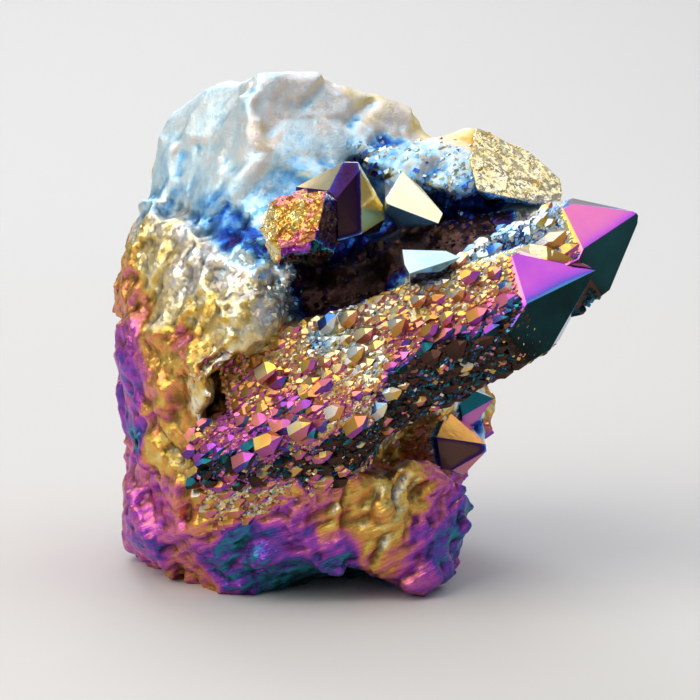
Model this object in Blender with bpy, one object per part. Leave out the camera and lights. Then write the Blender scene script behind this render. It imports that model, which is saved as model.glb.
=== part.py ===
"""Aura quartz cluster: one natural specimen, grown as a single piece.

A fractured quartz root stands on a flat broken base. Tapering six-sided crystals lean out of it to
the right, and small crystals of the same kind crust their sides. All of it is one closed solid.

Frame: metres, +Z up, +X towards the crystal tips, -Y towards the viewer. The origin lies on the flat
base. Positions below are in millimetres and are turned to metres by MM.
"""

import math
import random

import bmesh
import bpy
from mathutils import Matrix, Vector, noise

MM = 0.001
NODE = "quartz_cluster"
SEED = 22

# Quartz: the end faces stand 38.2 degrees to the crystal's long axis.
END_FACE_SLOPE = math.radians(38.2)
END_RUN = 1 / math.tan(END_FACE_SLOPE)

ROOT_VOXEL = 1.05  # grid that melts the root's blocks together
ROOT_FACES = 4500  # triangles left on the root
BREAK_SIZE = 8.0  # width of the broken faces on the root
BREAK_LEAN = 0.22
BREAK_STEP = 0.45
PIT_SIZE = 3.2
PIT_HEIGHT = 0.45
WELD = 0.001  # points closer than this are one point

# The root's blocks. Each is the hull of its corners: front corners first, then those behind.
ROOT_BLOCKS = {
    "crown_left": [
        (-21, 5, 56.5), (-21.5, 4.5, 53.5), (-22.5, 4, 50), (-23, 3, 47.5), (-20, 7, 58.5),
        (-15.5, 4, 61.5), (-12, 1, 63.5), (-10, -2.5, 63.5), (-10, -6, 58.5), (-10.5, -9, 53.5),
        (-12.5, -10, 47.5), (-17.5, -3, 45.5), (-21.5, 2, 45), (-20.5, 19, 57), (-12, 19, 61),
        (-23, 19, 47), (-12.5, 19, 44),
    ],
    "crown_right": [
        (-10.5, -4, 63.5), (-8, -5, 64.5), (-4.5, -3, 64), (-0.5, -1, 63), (2.5, 1, 62.5),
        (7.5, 3, 60.5), (12, 5, 58.5), (12.5, 4.5, 57), (11.5, 3, 55.5), (9, 2, 55), (3, -3, 53.5),
        (-8, -10, 54), (-10, -8, 57.5), (-10.5, -10, 50.5), (-3, -7, 51.5), (-8, 17, 62), (3, 19, 60),
        (9.5, 17, 56.5), (-9, 19, 46), (4.5, 17, 48.5),
    ],
    "shoulder": [
        (-24, 2, 47.5), (-25, 0.5, 45), (-26, -1, 41.5), (-26.5, -3, 37.5), (-25.5, -4.5, 34.5),
        (-25, -5.5, 31.5), (-23, -9, 31), (-20, -11, 31.5), (-16, -12.5, 37.5), (-15, -13, 43.5),
        (-16.5, -10, 46.5), (-21, -3, 46.5), (-26.5, 19, 38.5), (-27.5, 19, 28), (-18.5, 19, 41.5),
        (-18.5, 19, 27),
    ],
    "flank": [
        (-25, -5, 32.5), (-25.5, -6, 29.5), (-25.5, -6, 26), (-25, -5.5, 23.5), (-25, -5, 21.5),
        (-25, -4.5, 18), (-22, -9, 19), (-15.5, -20, 22.5), (-13.5, -24, 27.5), (-14.5, -21, 32.5),
        (-20.5, -13, 33), (-28, 19, 27.5), (-27.5, 17, 15), (-17, 19, 27), (-17, 17, 15),
    ],
    "nub": [
        (-26, -3, 20.5), (-25, -4, 21.5), (-23, -6, 21), (-22.5, -7, 19), (-23.5, -6, 17.5),
        (-25.5, -4, 17.5), (-26, -3, 18.5), (-23, 3, 18), (-24, 4, 19),
    ],
    "foot_left": [
        (-24.5, -4, 18.5), (-24.5, -4, 16), (-25, -4.5, 12.5), (-25, -4.5, 9), (-25, -4, 5.5),
        (-24, -3, 3.5), (-21.5, -2.5, 1.5), (-18, -4, 0), (-15, -8, 0), (-14, -10.5, 0),
        (-12.5, -17, 8), (-14, -21, 15.5), (-14.5, -21.5, 23), (-20.5, -13, 22), (-26.5, 15, 14),
        (-26.5, 13, 2), (-22.5, 10, -2.5), (-15, 13, -6),
    ],
    "foot_middle": [
        (-13.5, -15, 10), (-12, -18, 9.5), (-9, -19, 13), (-4.5, -20, 15.5), (3, -20, 18),
        (7.5, -19, 17.5), (7.5, -19, 13), (6, -19, 9.5), (4.5, -16, 5.5), (4.5, -3, 0.5),
        (2.5, -3, 0), (-2.5, -6, 0), (-5.5, -9, 0), (-9, -10.5, 0), (-12, -11, 0),
        (-13.5, -10.5, 0), (-8.5, -19, 6), (-0.5, -19, 7), (-13, 13, -5), (4.5, 13, -4),
        (-9, 14, 8.5), (7, 14, 10),
    ],
    "foot_right": [
        (10.5, -17, 18), (13, -15, 17.5), (14, -13, 14.5), (16, -12, 12.5), (17.5, -11, 10.5),
        (17.5, -11, 8.5), (16.5, -12, 6), (15, -13, 5), (14, -13.5, 2.5), (11.5, -14.5, 2),
        (9, -15.5, 2.5), (7, -16.5, 3.5), (4.5, -17, 4.5), (8, -19, 16.5), (7, -21, 12.5),
        (17, 7, 7.5), (15, 5, -0.5), (7, 5, -0.5), (9.5, 7, 12.5),
    ],
    "breast": [
        (-15.5, -10, 45), (-11, -14, 46.5), (-6, -15, 45.5), (-3, -15, 42.5), (-4, -15, 37.5),
        (-7.5, -19, 34), (-12, -22, 31.5), (-16, -17, 32.5), (-18, -11, 37), (-13.5, -17, 39),
        (-9, -19, 40), (-16, 3, 42.5), (-4.5, 3, 40), (-16.5, 3, 28.5), (-7.5, 3, 29.5),
    ],
    "neck": [
        (-14.5, -9, 45.5), (-10, -11.5, 45.5), (-5.5, -12.5, 45.5), (-3, -12, 43.5), (-13, -8.5, 48),
        (-8.5, -10.3, 48.5), (-4, -10.5, 49), (-0.5, -9, 49.5), (-8, -9.5, 51.5), (-4, -8.5, 52.5),
        (1, -6, 53), (3, -4, 51), (-14, 4, 45), (-13, 4, 48), (1, 4, 50), (-4, 4, 41.5), (2, 4, 45),
    ],
    "saddle": [
        (-7, -11, 37), (2.5, -10, 41.5), (9, -10, 45), (15.5, -9, 46.5), (26.5, -7, 48), (29, -9, 46),
        (23.5, -13, 43.5), (13, -13, 33.5), (-3, -13, 25), (-3.5, 7, 40), (12, 9, 47), (28, 5, 48),
        (13.5, 7, 29),
    ],
    "upper_block": [
        (4.5, -2, 54.5), (7.5, 0, 54), (10.5, 0, 55), (13, 0, 55.5), (15, -1, 56), (19, -1, 57),
        (19, -10, 51), (17.5, -10, 49.5), (14.5, -10, 50), (11.5, -10, 51), (8.5, -9, 53),
        (5, -8, 53.5), (7.5, 14, 52.5), (19.5, 12, 55.5), (19, 10, 47.5), (7, 14, 49),
    ],
    "shelf": [
        (-4.5, -2, 49.5), (2.5, 2, 52.5), (9.5, 4, 52), (19.5, 3, 47.5), (9.5, -1, 43),
        (-4.5, -4, 39.5), (-3.5, 14, 49), (18.5, 12, 49), (16, 12, 42.5), (-3.5, 14, 38.5),
    ],
    "underside": [
        (9.5, -3, 23), (14.5, -3, 25.5), (19.5, 5, 24), (21.5, 7, 21.5), (21, 9, 18.5), (20, 10, 16),
        (19, 9, 14), (18, 10, 8.5), (14.5, 5, 11), (8.5, -1, 17.5), (9, 19, 20), (20.5, 21, 19.5),
        (18, 19, 8.5), (8.5, 19, 7.5),
    ],
    "heart": [
        (-22, -2, 24), (-20, -4, 6), (-12, -11, 28), (-10, -12, 10), (4, -9, 30), (4, -8, 12),
        (-18, 10, 52), (4, 10, 54), (10, 2, 30), (8, 2, 6), (-22, 22, 24), (-18, 20, 6), (-16, 23, 50),
        (2, 23, 50), (10, 21, 26), (6, 18, 6), (-18, 4, -4), (8, 4, -4), (-14, 16, -4), (8, 14, -4),
    ],
}

# Broken crystals: what is left of each is the hull of the corners of its faces.
BROKEN_CRYSTALS = {
    "block_end": [
        (18.8, -1, 57.2), (20, 1, 56.4), (22.2, 1, 55.2), (25.6, 0, 54.2), (27.6, -1, 52.4),
        (29.4, -2, 50.6), (29.8, -3, 49.4), (29.4, -4, 48.4), (25.8, -7, 48.4), (23, -9, 49.4),
        (20, -10, 49.6), (18.6, -11, 50.6), (17.8, -8, 54), (19, 8, 55.6), (28, 5, 51.4),
        (29.2, 3, 48.2), (19.4, 6, 47.4),
    ],
    "dark_point": [
        (2.2, -16, 54.6), (4, -16.4, 54.6), (-3.6, -13, 51.2), (0.4, -18.4, 51.4), (1.4, -19.6, 50.6),
        (1.6, -20, 45.6), (4.4, -20, 46.4), (4.2, -17.6, 53.8), (7, -15, 49.2), (7.2, -15.6, 47.6),
        (3.2, -10, 53.2), (-3.2, -8, 49.6), (6.4, -9, 47.6), (-3.2, -11, 44.4), (6.6, -12, 45.6),
    ],
    "stub": [
        (-6.6, -22, 50.4), (-5.2, -21, 51), (0.2, -20.4, 51.6), (1.4, -20, 50.4), (1.6, -20, 48.2),
        (0.8, -21, 44.4), (-2.2, -25, 45), (-5.2, -24, 43.8), (-7.8, -23, 47.6), (0, -25.6, 51.4),
        (-1, -26, 46.4), (-5.8, -24.4, 50.4), (-5.2, -26, 45.4), (-5, -12, 47.6), (1.2, -12, 47.6),
        (0, -13, 42), (-6.2, -13, 42),
    ],
    "cream_point": [
        (9.4, -12, 53), (7.2, -17, 50.2), (7.4, -18, 49.8), (13.6, -18, 47.4), (14.2, -16.4, 48.4),
        (11.6, -13, 51.2), (9.4, -14, 46.8), (7.2, -15, 48.4), (7.2, -9, 51.6), (12.2, -8, 48.4),
        (9.2, -9, 45.4), (12.8, -11, 46.4),
    ],
    "slab": [
        (9.2, -20.4, 44.6), (14.4, -20, 44.4), (16.2, -20, 43.6), (10, -24, 42.2), (9.4, -23, 43.2),
        (13.8, -21, 42), (9, -15, 42.8), (15.2, -15, 42.4), (10.2, -16, 39.6),
    ],
}

# Whole crystals. tip is the point; heading swings the axis from +X towards the viewer and pitch
# lifts it, in degrees; roll turns the six sides about the axis. girdle is the distance from the axis
# to each side, starting at the top side and going round towards the viewer.
CRYSTALS = {
    "main": dict(tip=(32.3, -19, 42.0), heading=13, pitch=24.5, reach=46, taper=4.5,
                 girdle=(5.7, 6.1, 8.4, 6.4, 6.0, 5.8)),
    "back_right": dict(tip=(37.3, -14, 48.4), heading=5, pitch=29, reach=44, taper=3,
                       girdle=(4.6, 5.5, 6.8, 6.9, 6.0, 5.5), ends=(0, 0, 0.6, 1.8, 1, 0)),
    "lower_rib": dict(tip=(9.8, -21, 28.3), heading=13, pitch=24, reach=25, taper=3,
                      girdle=(4.0, 4.6, 5.0, 5.0, 5.0, 4.0)),
    "keel": dict(tip=(8.6, -19.5, 24.2), heading=12, pitch=20, reach=24, taper=4, roll=8,
                 girdle=(3.0, 4.4, 4.8, 5.5, 5.0, 4.0)),
    "under_point": dict(tip=(20.4, 0, 16.6), heading=30, pitch=4, reach=18, taper=2, roll=20,
                        girdle=(4.2, 3.8, 3.8, 3.8, 4.0, 4.2), ends=(0, 0, 0, 1, 1, 0)),
    "under_back": dict(tip=(21.8, 7, 21.2), heading=-4, pitch=10, reach=18, taper=3, roll=-8,
                       girdle=(3.8, 3.8, 3.8, 3.8, 3.8, 3.6)),
    "rear_point": dict(tip=(24.0, 16, 37.5), heading=-36, pitch=23, reach=28, taper=3, roll=10,
                       girdle=(5.2, 5.0, 5.6, 6.0, 5.4, 5.0)),
    "rear_mid": dict(tip=(15.5, 27.5, 34.5), heading=-56, pitch=17, reach=22, taper=3, roll=-12,
                     girdle=(3.6, 3.4, 3.8, 4.2, 3.8, 3.6)),
    "rear_low": dict(tip=(10.5, 26.5, 17.5), heading=-66, pitch=4, reach=20, taper=3, roll=25,
                     girdle=(4.2, 4.6, 4.4, 4.2, 4.0, 4.4)),
    "rear_high": dict(tip=(0.5, 29.0, 46.5), heading=-80, pitch=28, reach=18, taper=2, roll=-15,
                      girdle=(3.6, 4.0, 4.4, 4.2, 3.8, 3.6)),
    "rear_side": dict(tip=(-15.5, 27.5, 33.0), heading=-104, pitch=24, reach=16, taper=3, roll=20,
                      girdle=(3.2, 3.4, 3.8, 3.6, 3.0, 3.2)),
    "rear_foot": dict(tip=(-5.5, 26.5, 11.0), heading=-92, pitch=-3, reach=16, taper=2, roll=8,
                      girdle=(2.8, 3.0, 3.4, 3.2, 3.0, 2.8)),
}

# Small crystals crusting a big one: host, how many, their half-width range, and the stretch of the
# host they cover, counted back from its tip.
CRUSTS = [
    dict(host="main", sides=(0, 1, 2), count=70, size=(0.55, 1.25), start=9, end=40),
    dict(host="lower_rib", sides=(1, 2), count=18, size=(0.6, 1.2), start=4, end=22),
    dict(host="keel", sides=(1, 2), count=14, size=(0.6, 1.1), start=4, end=24),
    dict(host="back_right", sides=(0, 1, 2), count=16, size=(0.5, 1.0), start=7, end=24),
    dict(host="rear_point", sides=(3, 4, 5), count=12, size=(0.7, 1.3), start=8, end=20),
]


def clear_scene():
    for obj in list(bpy.data.objects):
        bpy.data.objects.remove(obj)


def object_from(bm, name):
    """Turns a bmesh into a helper object."""
    mesh = bpy.data.meshes.new(name)
    bm.to_mesh(mesh)
    bm.free()
    obj = bpy.data.objects.new(name, mesh)
    bpy.context.scene.collection.objects.link(obj)
    obj.hide_render = True
    obj.display_type = "WIRE"
    return obj


def freeze(obj):
    """Applies an object's modifiers to its mesh."""
    graph = bpy.context.evaluated_depsgraph_get()
    mesh = bpy.data.meshes.new_from_object(obj.evaluated_get(graph))
    obj.modifiers.clear()
    obj.data = mesh


def joined(objects, name):
    """One object that holds the meshes of several."""
    bm = bmesh.new()
    for obj in objects:
        bm.from_mesh(obj.data)
        bpy.data.objects.remove(obj)
    return object_from(bm, name)


def add_block(name, corners):
    bm = bmesh.new()
    for corner in corners:
        bm.verts.new(Vector(corner) * MM)
    hull = bmesh.ops.convex_hull(bm, input=bm.verts)
    bmesh.ops.delete(bm, geom=hull["geom_interior"], context="VERTS")
    bmesh.ops.recalc_face_normals(bm, faces=bm.faces)
    return object_from(bm, name)


def cut_off(bm, point, normal):
    """Slices away what lies beyond a plane and closes the cut with a flat face."""
    everything = bm.verts[:] + bm.edges[:] + bm.faces[:]
    bmesh.ops.bisect_plane(bm, geom=everything, plane_co=point, plane_no=normal, clear_outer=True)
    rim = [edge for edge in bm.edges if edge.is_boundary]
    bmesh.ops.holes_fill(bm, edges=rim)


def axis_frame(heading, pitch, roll=0.0):
    """A crystal's axis, its top side's direction and the direction towards the viewer."""
    turn = math.radians(heading)
    lift = math.radians(pitch)
    axis = Vector((math.cos(lift) * math.cos(turn), -math.cos(lift) * math.sin(turn), math.sin(lift)))
    level = Vector((-math.sin(turn), -math.cos(turn), 0))
    top = level.cross(axis)
    spin = Matrix.Rotation(math.radians(-roll), 3, axis)
    return axis, spin @ top, spin @ level


def side_direction(frame, side):
    _, top, front = frame
    angle = math.radians(60 * side)
    return top * math.cos(angle) + front * math.sin(angle)


def add_crystal(name, tip, heading, pitch, reach, girdle, taper=0.0, roll=0.0, ends=(0,) * 6):
    """A six-sided crystal, cut out of a block by its side planes, its end faces and its root.

    ends moves each end face outwards along the axis, which turns the point into a chisel edge.
    """
    frame = axis_frame(heading, pitch, roll)
    axis = frame[0]
    tip = Vector(tip) * MM
    bm = bmesh.new()
    bmesh.ops.create_cube(bm, size=4 * reach * MM)
    bmesh.ops.translate(bm, vec=tip, verts=bm.verts)
    cut_off(bm, tip - axis * reach * MM, -axis)
    lean = math.radians(taper)
    for side, distance in enumerate(girdle):
        out = side_direction(frame, side)
        shoulder = tip + (out - axis * END_RUN) * distance * MM
        cut_off(bm, shoulder, out * math.cos(lean) + axis * math.sin(lean))
        steep = out * math.cos(END_FACE_SLOPE) + axis * math.sin(END_FACE_SLOPE)
        cut_off(bm, tip + axis * ends[side] * MM, steep)
    bmesh.ops.recalc_face_normals(bm, faces=bm.faces)
    return object_from(bm, name)


def crust_of(host, sides, count, size, start, end, rng):
    """Small crystals, parallel to their host, that stand out of its sides."""
    spec = CRYSTALS[host]
    frame = axis_frame(spec["heading"], spec["pitch"], spec.get("roll", 0.0))
    axis = frame[0]
    tip = Vector(spec["tip"])
    made = []
    for number in range(count):
        side = rng.choice(sides)
        out = side_direction(frame, side)
        across = axis.cross(out)
        back = rng.uniform(start, end)
        distance = spec["girdle"][side]
        widen = math.tan(math.radians(spec["taper"])) * (back - distance * END_RUN)
        slide = rng.uniform(-0.42, 0.42) * (distance + widen)
        half = rng.uniform(*size)
        point = tip - axis * back + out * (distance + widen + 0.35 * half) + across * slide
        made.append(
            add_crystal(
                f"{host}_crust_{number}",
                point,
                spec["heading"] + rng.uniform(-4, 4),
                spec["pitch"] + rng.uniform(-4, 4),
                reach=half * rng.uniform(3.2, 4.6),
                girdle=[half * rng.uniform(0.75, 1.25) for _ in range(6)],
                roll=spec.get("roll", 0.0) + rng.uniform(-5, 5),
            )
        )
    return made


def ramp(value, low, high):
    """0 below low, 1 above high, and smooth between."""
    share = min(1.0, max(0.0, (value - low) / (high - low)))
    return share * share * (3 - 2 * share)


def weathering(point):
    """How far the root's surface stands out at a point, in millimetres.

    Each cell of the pattern is one broken face: it leans its own way and sits at its own height,
    which leaves ledges between the cells.
    """
    spots = noise.voronoi(point / BREAK_SIZE)[1]
    centre = spots[0] * BREAK_SIZE
    lean = 2 * noise.cell_vector(centre) - Vector((1, 1, 1))
    plane = (point - centre).dot(lean) * BREAK_LEAN + (lean.x + lean.y) * BREAK_STEP
    pits = noise.fractal(point / PIT_SIZE, 1.0, 2.0, 3)
    crown = ramp(point.z, 44, 50)
    return plane * (1 - 0.3 * crown) + PIT_HEIGHT * pits


def melt(obj):
    """Merges an object's overlapping shells into one closed skin."""
    remesh = obj.modifiers.new("melt", "REMESH")
    remesh.mode = "VOXEL"
    remesh.voxel_size = ROOT_VOXEL * MM
    freeze(obj)


def weather(obj):
    mesh = obj.data
    moved = [
        vertex.co + normal.vector * weathering(vertex.co / MM) * MM
        for vertex, normal in zip(mesh.vertices, mesh.vertex_normals)
    ]
    mesh.vertices.foreach_set("co", [value for point in moved for value in point])
    mesh.update()


def add_root():
    """The fractured root: its blocks melted together, weathered and thinned."""
    root = joined([add_block(name, corners) for name, corners in ROOT_BLOCKS.items()], "root")
    melt(root)
    weather(root)
    melt(root)
    thin = root.modifiers.new("thin", "DECIMATE")
    faces = sum(len(face.vertices) - 2 for face in root.data.polygons)
    thin.ratio = min(1.0, ROOT_FACES / faces)
    freeze(root)
    tidied(root, keep_outer_skin)
    return root


def keep_outer_skin(bm):
    """Drops stray shells and those around pockets sealed inside the solid."""
    shells = []
    waiting = set(bm.verts)
    while waiting:
        reached = [waiting.pop()]
        for vertex in reached:
            linked = {edge.other_vert(vertex) for edge in vertex.link_edges} & waiting
            waiting -= linked
            reached.extend(linked)
        shells.append(reached)
    outer = max(shells, key=len)
    stray = [vertex for shell in shells if shell is not outer for vertex in shell]
    bmesh.ops.delete(bm, geom=stray, context="VERTS")


def tidied(obj, finish):
    """Runs one clean-up step on an object's mesh."""
    bm = bmesh.new()
    bm.from_mesh(obj.data)
    finish(bm)
    bm.to_mesh(obj.data)
    bm.free()


def weld(bm):
    """Merges the doubled points a union leaves along its seams."""
    bmesh.ops.triangulate(bm, faces=bm.faces)
    bmesh.ops.remove_doubles(bm, verts=bm.verts, dist=WELD * MM)
    bmesh.ops.dissolve_degenerate(bm, edges=bm.edges, dist=WELD * MM)


def level_base(bm):
    """Cuts the base flat, so that the cluster stands on it."""
    cut_off(bm, Vector((0, 0, 0)), Vector((0, 0, -1)))


def grow_together(root, crystals):
    """Joins the crystals to the root as one solid and cuts its base flat.

    The manifold solver is used because the exact one leaves open seams where the crystals cross.
    """
    crop = bpy.data.collections.new("crystals")
    for crystal in crystals:
        crop.objects.link(crystal)
    union = root.modifiers.new("grow", "BOOLEAN")
    union.operation = "UNION"
    union.operand_type = "COLLECTION"
    union.collection = crop
    union.solver = "MANIFOLD"
    freeze(root)
    for finish in (weld, level_base, keep_outer_skin):
        tidied(root, finish)
    root.name = NODE
    root.data.name = NODE
    root.hide_render = False
    root.display_type = "TEXTURED"
    return root


def coated_quartz():
    """Quartz under a thin metal-oxide film: a mirror-like skin with a violet and gold cast."""
    material = bpy.data.materials.new("aura_quartz")
    material.use_nodes = True
    shader = material.node_tree.nodes["Principled BSDF"]
    shader.inputs["Base Color"].default_value = (0.62, 0.42, 0.55, 1.0)
    shader.inputs["Metallic"].default_value = 0.9
    shader.inputs["Roughness"].default_value = 0.28
    return material


def main():
    clear_scene()
    rng = random.Random(SEED)
    root = add_root()
    crystals = [add_block(name, corners) for name, corners in BROKEN_CRYSTALS.items()]
    crystals += [add_crystal(name, **spec) for name, spec in CRYSTALS.items()]
    for crust in CRUSTS:
        crystals += crust_of(rng=rng, **crust)
    cluster = grow_together(root, crystals)
    cluster.data.materials.clear()
    cluster.data.materials.append(coated_quartz())


main()
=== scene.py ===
"""Titanium-coated aura quartz cluster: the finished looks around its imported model.

One specimen: a fractured root, long six-sided crystals that lean out of it, broken crystals on its
front, and an overgrowth of small crystals that lie parallel to the ones they cover. Sizes in the
tables are millimetres; meshes are made in metres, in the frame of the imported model.
"""

import math
import random

import bmesh
import bpy
import numpy as np
from bpy.props import FloatProperty, FloatVectorProperty, IntProperty, PointerProperty
from bpy.types import Operator, Panel, PropertyGroup
from mathutils import Matrix, Vector, noise
from mathutils.bvhtree import BVHTree


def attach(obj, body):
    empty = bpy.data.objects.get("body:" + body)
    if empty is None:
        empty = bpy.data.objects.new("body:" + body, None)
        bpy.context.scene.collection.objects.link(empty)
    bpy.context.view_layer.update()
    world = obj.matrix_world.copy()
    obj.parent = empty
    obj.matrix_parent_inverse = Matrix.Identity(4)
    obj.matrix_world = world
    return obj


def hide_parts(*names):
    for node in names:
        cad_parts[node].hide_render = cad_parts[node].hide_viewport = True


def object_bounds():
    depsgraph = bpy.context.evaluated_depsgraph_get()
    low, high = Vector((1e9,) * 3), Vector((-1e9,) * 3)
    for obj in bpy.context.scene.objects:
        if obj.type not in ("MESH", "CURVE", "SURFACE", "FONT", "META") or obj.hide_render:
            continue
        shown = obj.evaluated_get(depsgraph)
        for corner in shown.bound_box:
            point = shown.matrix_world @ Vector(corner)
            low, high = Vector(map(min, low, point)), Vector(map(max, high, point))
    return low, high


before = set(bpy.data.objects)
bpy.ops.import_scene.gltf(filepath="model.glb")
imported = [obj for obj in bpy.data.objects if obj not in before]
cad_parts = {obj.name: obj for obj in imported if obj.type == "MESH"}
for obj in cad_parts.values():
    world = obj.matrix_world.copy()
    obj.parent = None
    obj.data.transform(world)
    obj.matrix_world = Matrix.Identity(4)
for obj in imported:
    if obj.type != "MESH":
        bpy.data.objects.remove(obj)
CAD_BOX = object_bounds()

bl_info = {
    "name": "Aura quartz cluster",
    "version": (1, 0, 0),
    "blender": (4, 5, 0),
    "location": "3D View > Sidebar > Quartz",
    "description": "Builds a titanium-coated quartz cluster and a plain stage for it",
    "category": "Object",
}

MM = 0.001
NODE = "quartz_cluster"

# Quartz: the end faces stand 38.2 degrees to the crystal's long axis.
END_FACE_SLOPE = math.radians(38.2)
END_RUN = 1 / math.tan(END_FACE_SLOPE)

# The root's blocks. Each is the hull of its corners: front corners first, then those behind.
ROOT_BLOCKS = {
    "crown_left": [
        (-21, 5, 56.5), (-21.5, 4.5, 53.5), (-22.5, 4, 50), (-23, 3, 47.5), (-20, 7, 58.5),
        (-15.5, 4, 61.5), (-12, 1, 63.5), (-10, -2.5, 63.5), (-10, -6, 58.5), (-10.5, -9, 53.5),
        (-12.5, -10, 47.5), (-17.5, -3, 45.5), (-21.5, 2, 45), (-20.5, 19, 57), (-12, 19, 61),
        (-23, 19, 47), (-12.5, 19, 44),
    ],
    "crown_right": [
        (-10.5, -4, 63.5), (-8, -5, 64.5), (-4.5, -3, 64), (-0.5, -1, 63), (2.5, 1, 62.5),
        (7.5, 3, 60.5), (12, 5, 58.5), (12.5, 4.5, 57), (11.5, 3, 55.5), (9, 2, 55), (3, -3, 53.5),
        (-8, -10, 54), (-10, -8, 57.5), (-10.5, -10, 50.5), (-3, -7, 51.5), (-8, 17, 62), (3, 19, 60),
        (9.5, 17, 56.5), (-9, 19, 46), (4.5, 17, 48.5),
    ],
    "shoulder": [
        (-24, 2, 47.5), (-25, 0.5, 45), (-26, -1, 41.5), (-26.5, -3, 37.5), (-25.5, -4.5, 34.5),
        (-25, -5.5, 31.5), (-23, -9, 31), (-20, -11, 31.5), (-16, -12.5, 37.5), (-15, -13, 43.5),
        (-16.5, -10, 46.5), (-21, -3, 46.5), (-26.5, 19, 38.5), (-27.5, 19, 28), (-18.5, 19, 41.5),
        (-18.5, 19, 27),
    ],
    "flank": [
        (-25, -5, 32.5), (-25.5, -6, 29.5), (-25.5, -6, 26), (-25, -5.5, 23.5), (-25, -5, 21.5),
        (-25, -4.5, 18), (-22, -9, 19), (-15.5, -20, 22.5), (-13.5, -24, 27.5), (-14.5, -21, 32.5),
        (-20.5, -13, 33), (-28, 19, 27.5), (-27.5, 17, 15), (-17, 19, 27), (-17, 17, 15),
    ],
    "nub": [
        (-26, -3, 20.5), (-25, -4, 21.5), (-23, -6, 21), (-22.5, -7, 19), (-23.5, -6, 17.5),
        (-25.5, -4, 17.5), (-26, -3, 18.5), (-23, 3, 18), (-24, 4, 19),
    ],
    "foot_left": [
        (-24.5, -4, 18.5), (-24.5, -4, 16), (-25, -4.5, 12.5), (-25, -4.5, 9), (-25, -4, 5.5),
        (-24, -3, 3.5), (-21.5, -2.5, 1.5), (-18, -4, 0), (-15, -8, 0), (-14, -10.5, 0),
        (-12.5, -17, 8), (-14, -21, 15.5), (-14.5, -21.5, 23), (-20.5, -13, 22), (-26.5, 15, 14),
        (-26.5, 13, 2), (-22.5, 10, -2.5), (-15, 13, -6),
    ],
    "foot_middle": [
        (-13.5, -15, 10), (-12, -18, 9.5), (-9, -19, 13), (-4.5, -20, 15.5), (3, -20, 18),
        (7.5, -19, 17.5), (7.5, -19, 13), (6, -19, 9.5), (4.5, -16, 5.5), (4.5, -3, 0.5),
        (2.5, -3, 0), (-2.5, -6, 0), (-5.5, -9, 0), (-9, -10.5, 0), (-12, -11, 0),
        (-13.5, -10.5, 0), (-8.5, -19, 6), (-0.5, -19, 7), (-13, 13, -5), (4.5, 13, -4),
        (-9, 14, 8.5), (7, 14, 10),
    ],
    "foot_right": [
        (10.5, -17, 18), (13, -15, 17.5), (14, -13, 14.5), (16, -12, 12.5), (17.5, -11, 10.5),
        (17.5, -11, 8.5), (16.5, -12, 6), (15, -13, 5), (14, -13.5, 2.5), (11.5, -14.5, 2),
        (9, -15.5, 2.5), (7, -16.5, 3.5), (4.5, -17, 4.5), (8, -19, 16.5), (7, -21, 12.5),
        (17, 7, 7.5), (15, 5, -0.5), (7, 5, -0.5), (9.5, 7, 12.5),
    ],
    "breast": [
        (-15.5, -10, 45), (-11, -14, 46.5), (-6, -15, 45.5), (-3, -15, 42.5), (-4, -15, 37.5),
        (-7.5, -19, 34), (-12, -22, 31.5), (-16, -17, 32.5), (-18, -11, 37), (-13.5, -17, 39),
        (-9, -19, 40), (-16, 3, 42.5), (-4.5, 3, 40), (-16.5, 3, 28.5), (-7.5, 3, 29.5),
    ],
    "neck": [
        (-14.5, -9, 45.5), (-10, -11.5, 45.5), (-5.5, -12.5, 45.5), (-3, -12, 43.5), (-13, -8.5, 48),
        (-8.5, -10.3, 48.5), (-4, -10.5, 49), (-0.5, -9, 49.5), (-8, -9.5, 51.5), (-4, -8.5, 52.5),
        (1, -6, 53), (3, -4, 51), (-14, 4, 45), (-13, 4, 48), (1, 4, 50), (-4, 4, 41.5), (2, 4, 45),
    ],
    "saddle": [
        (-7, -11, 37), (2.5, -10, 41.5), (9, -10, 45), (15.5, -9, 46.5), (26.5, -7, 48), (29, -9, 46),
        (23.5, -13, 43.5), (13, -13, 33.5), (-3, -13, 25), (-3.5, 7, 40), (12, 9, 47), (28, 5, 48),
        (13.5, 7, 29),
    ],
    "upper_block": [
        (4.5, -2, 54.5), (7.5, 0, 54), (10.5, 0, 55), (13, 0, 55.5), (15, -1, 56), (19, -1, 57),
        (19, -10, 51), (17.5, -10, 49.5), (14.5, -10, 50), (11.5, -10, 51), (8.5, -9, 53),
        (5, -8, 53.5), (7.5, 14, 52.5), (19.5, 12, 55.5), (19, 10, 47.5), (7, 14, 49),
    ],
    "shelf": [
        (-4.5, -2, 49.5), (2.5, 2, 52.5), (9.5, 4, 52), (19.5, 3, 47.5), (9.5, -1, 43),
        (-4.5, -4, 39.5), (-3.5, 14, 49), (18.5, 12, 49), (16, 12, 42.5), (-3.5, 14, 38.5),
    ],
    "underside": [
        (9.5, -3, 23), (14.5, -3, 25.5), (19.5, 5, 24), (21.5, 7, 21.5), (21, 9, 18.5), (20, 10, 16),
        (19, 9, 14), (18, 10, 8.5), (14.5, 5, 11), (8.5, -1, 17.5), (9, 19, 20), (20.5, 21, 19.5),
        (18, 19, 8.5), (8.5, 19, 7.5),
    ],
    "heart": [
        (-22, -2, 24), (-20, -4, 6), (-12, -11, 28), (-10, -12, 10), (4, -9, 30), (4, -8, 12),
        (-18, 10, 52), (4, 10, 54), (10, 2, 30), (8, 2, 6), (-22, 22, 24), (-18, 20, 6), (-16, 23, 50),
        (2, 23, 50), (10, 21, 26), (6, 18, 6), (-18, 4, -4), (8, 4, -4), (-14, 16, -4), (8, 14, -4),
    ],
}

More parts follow.
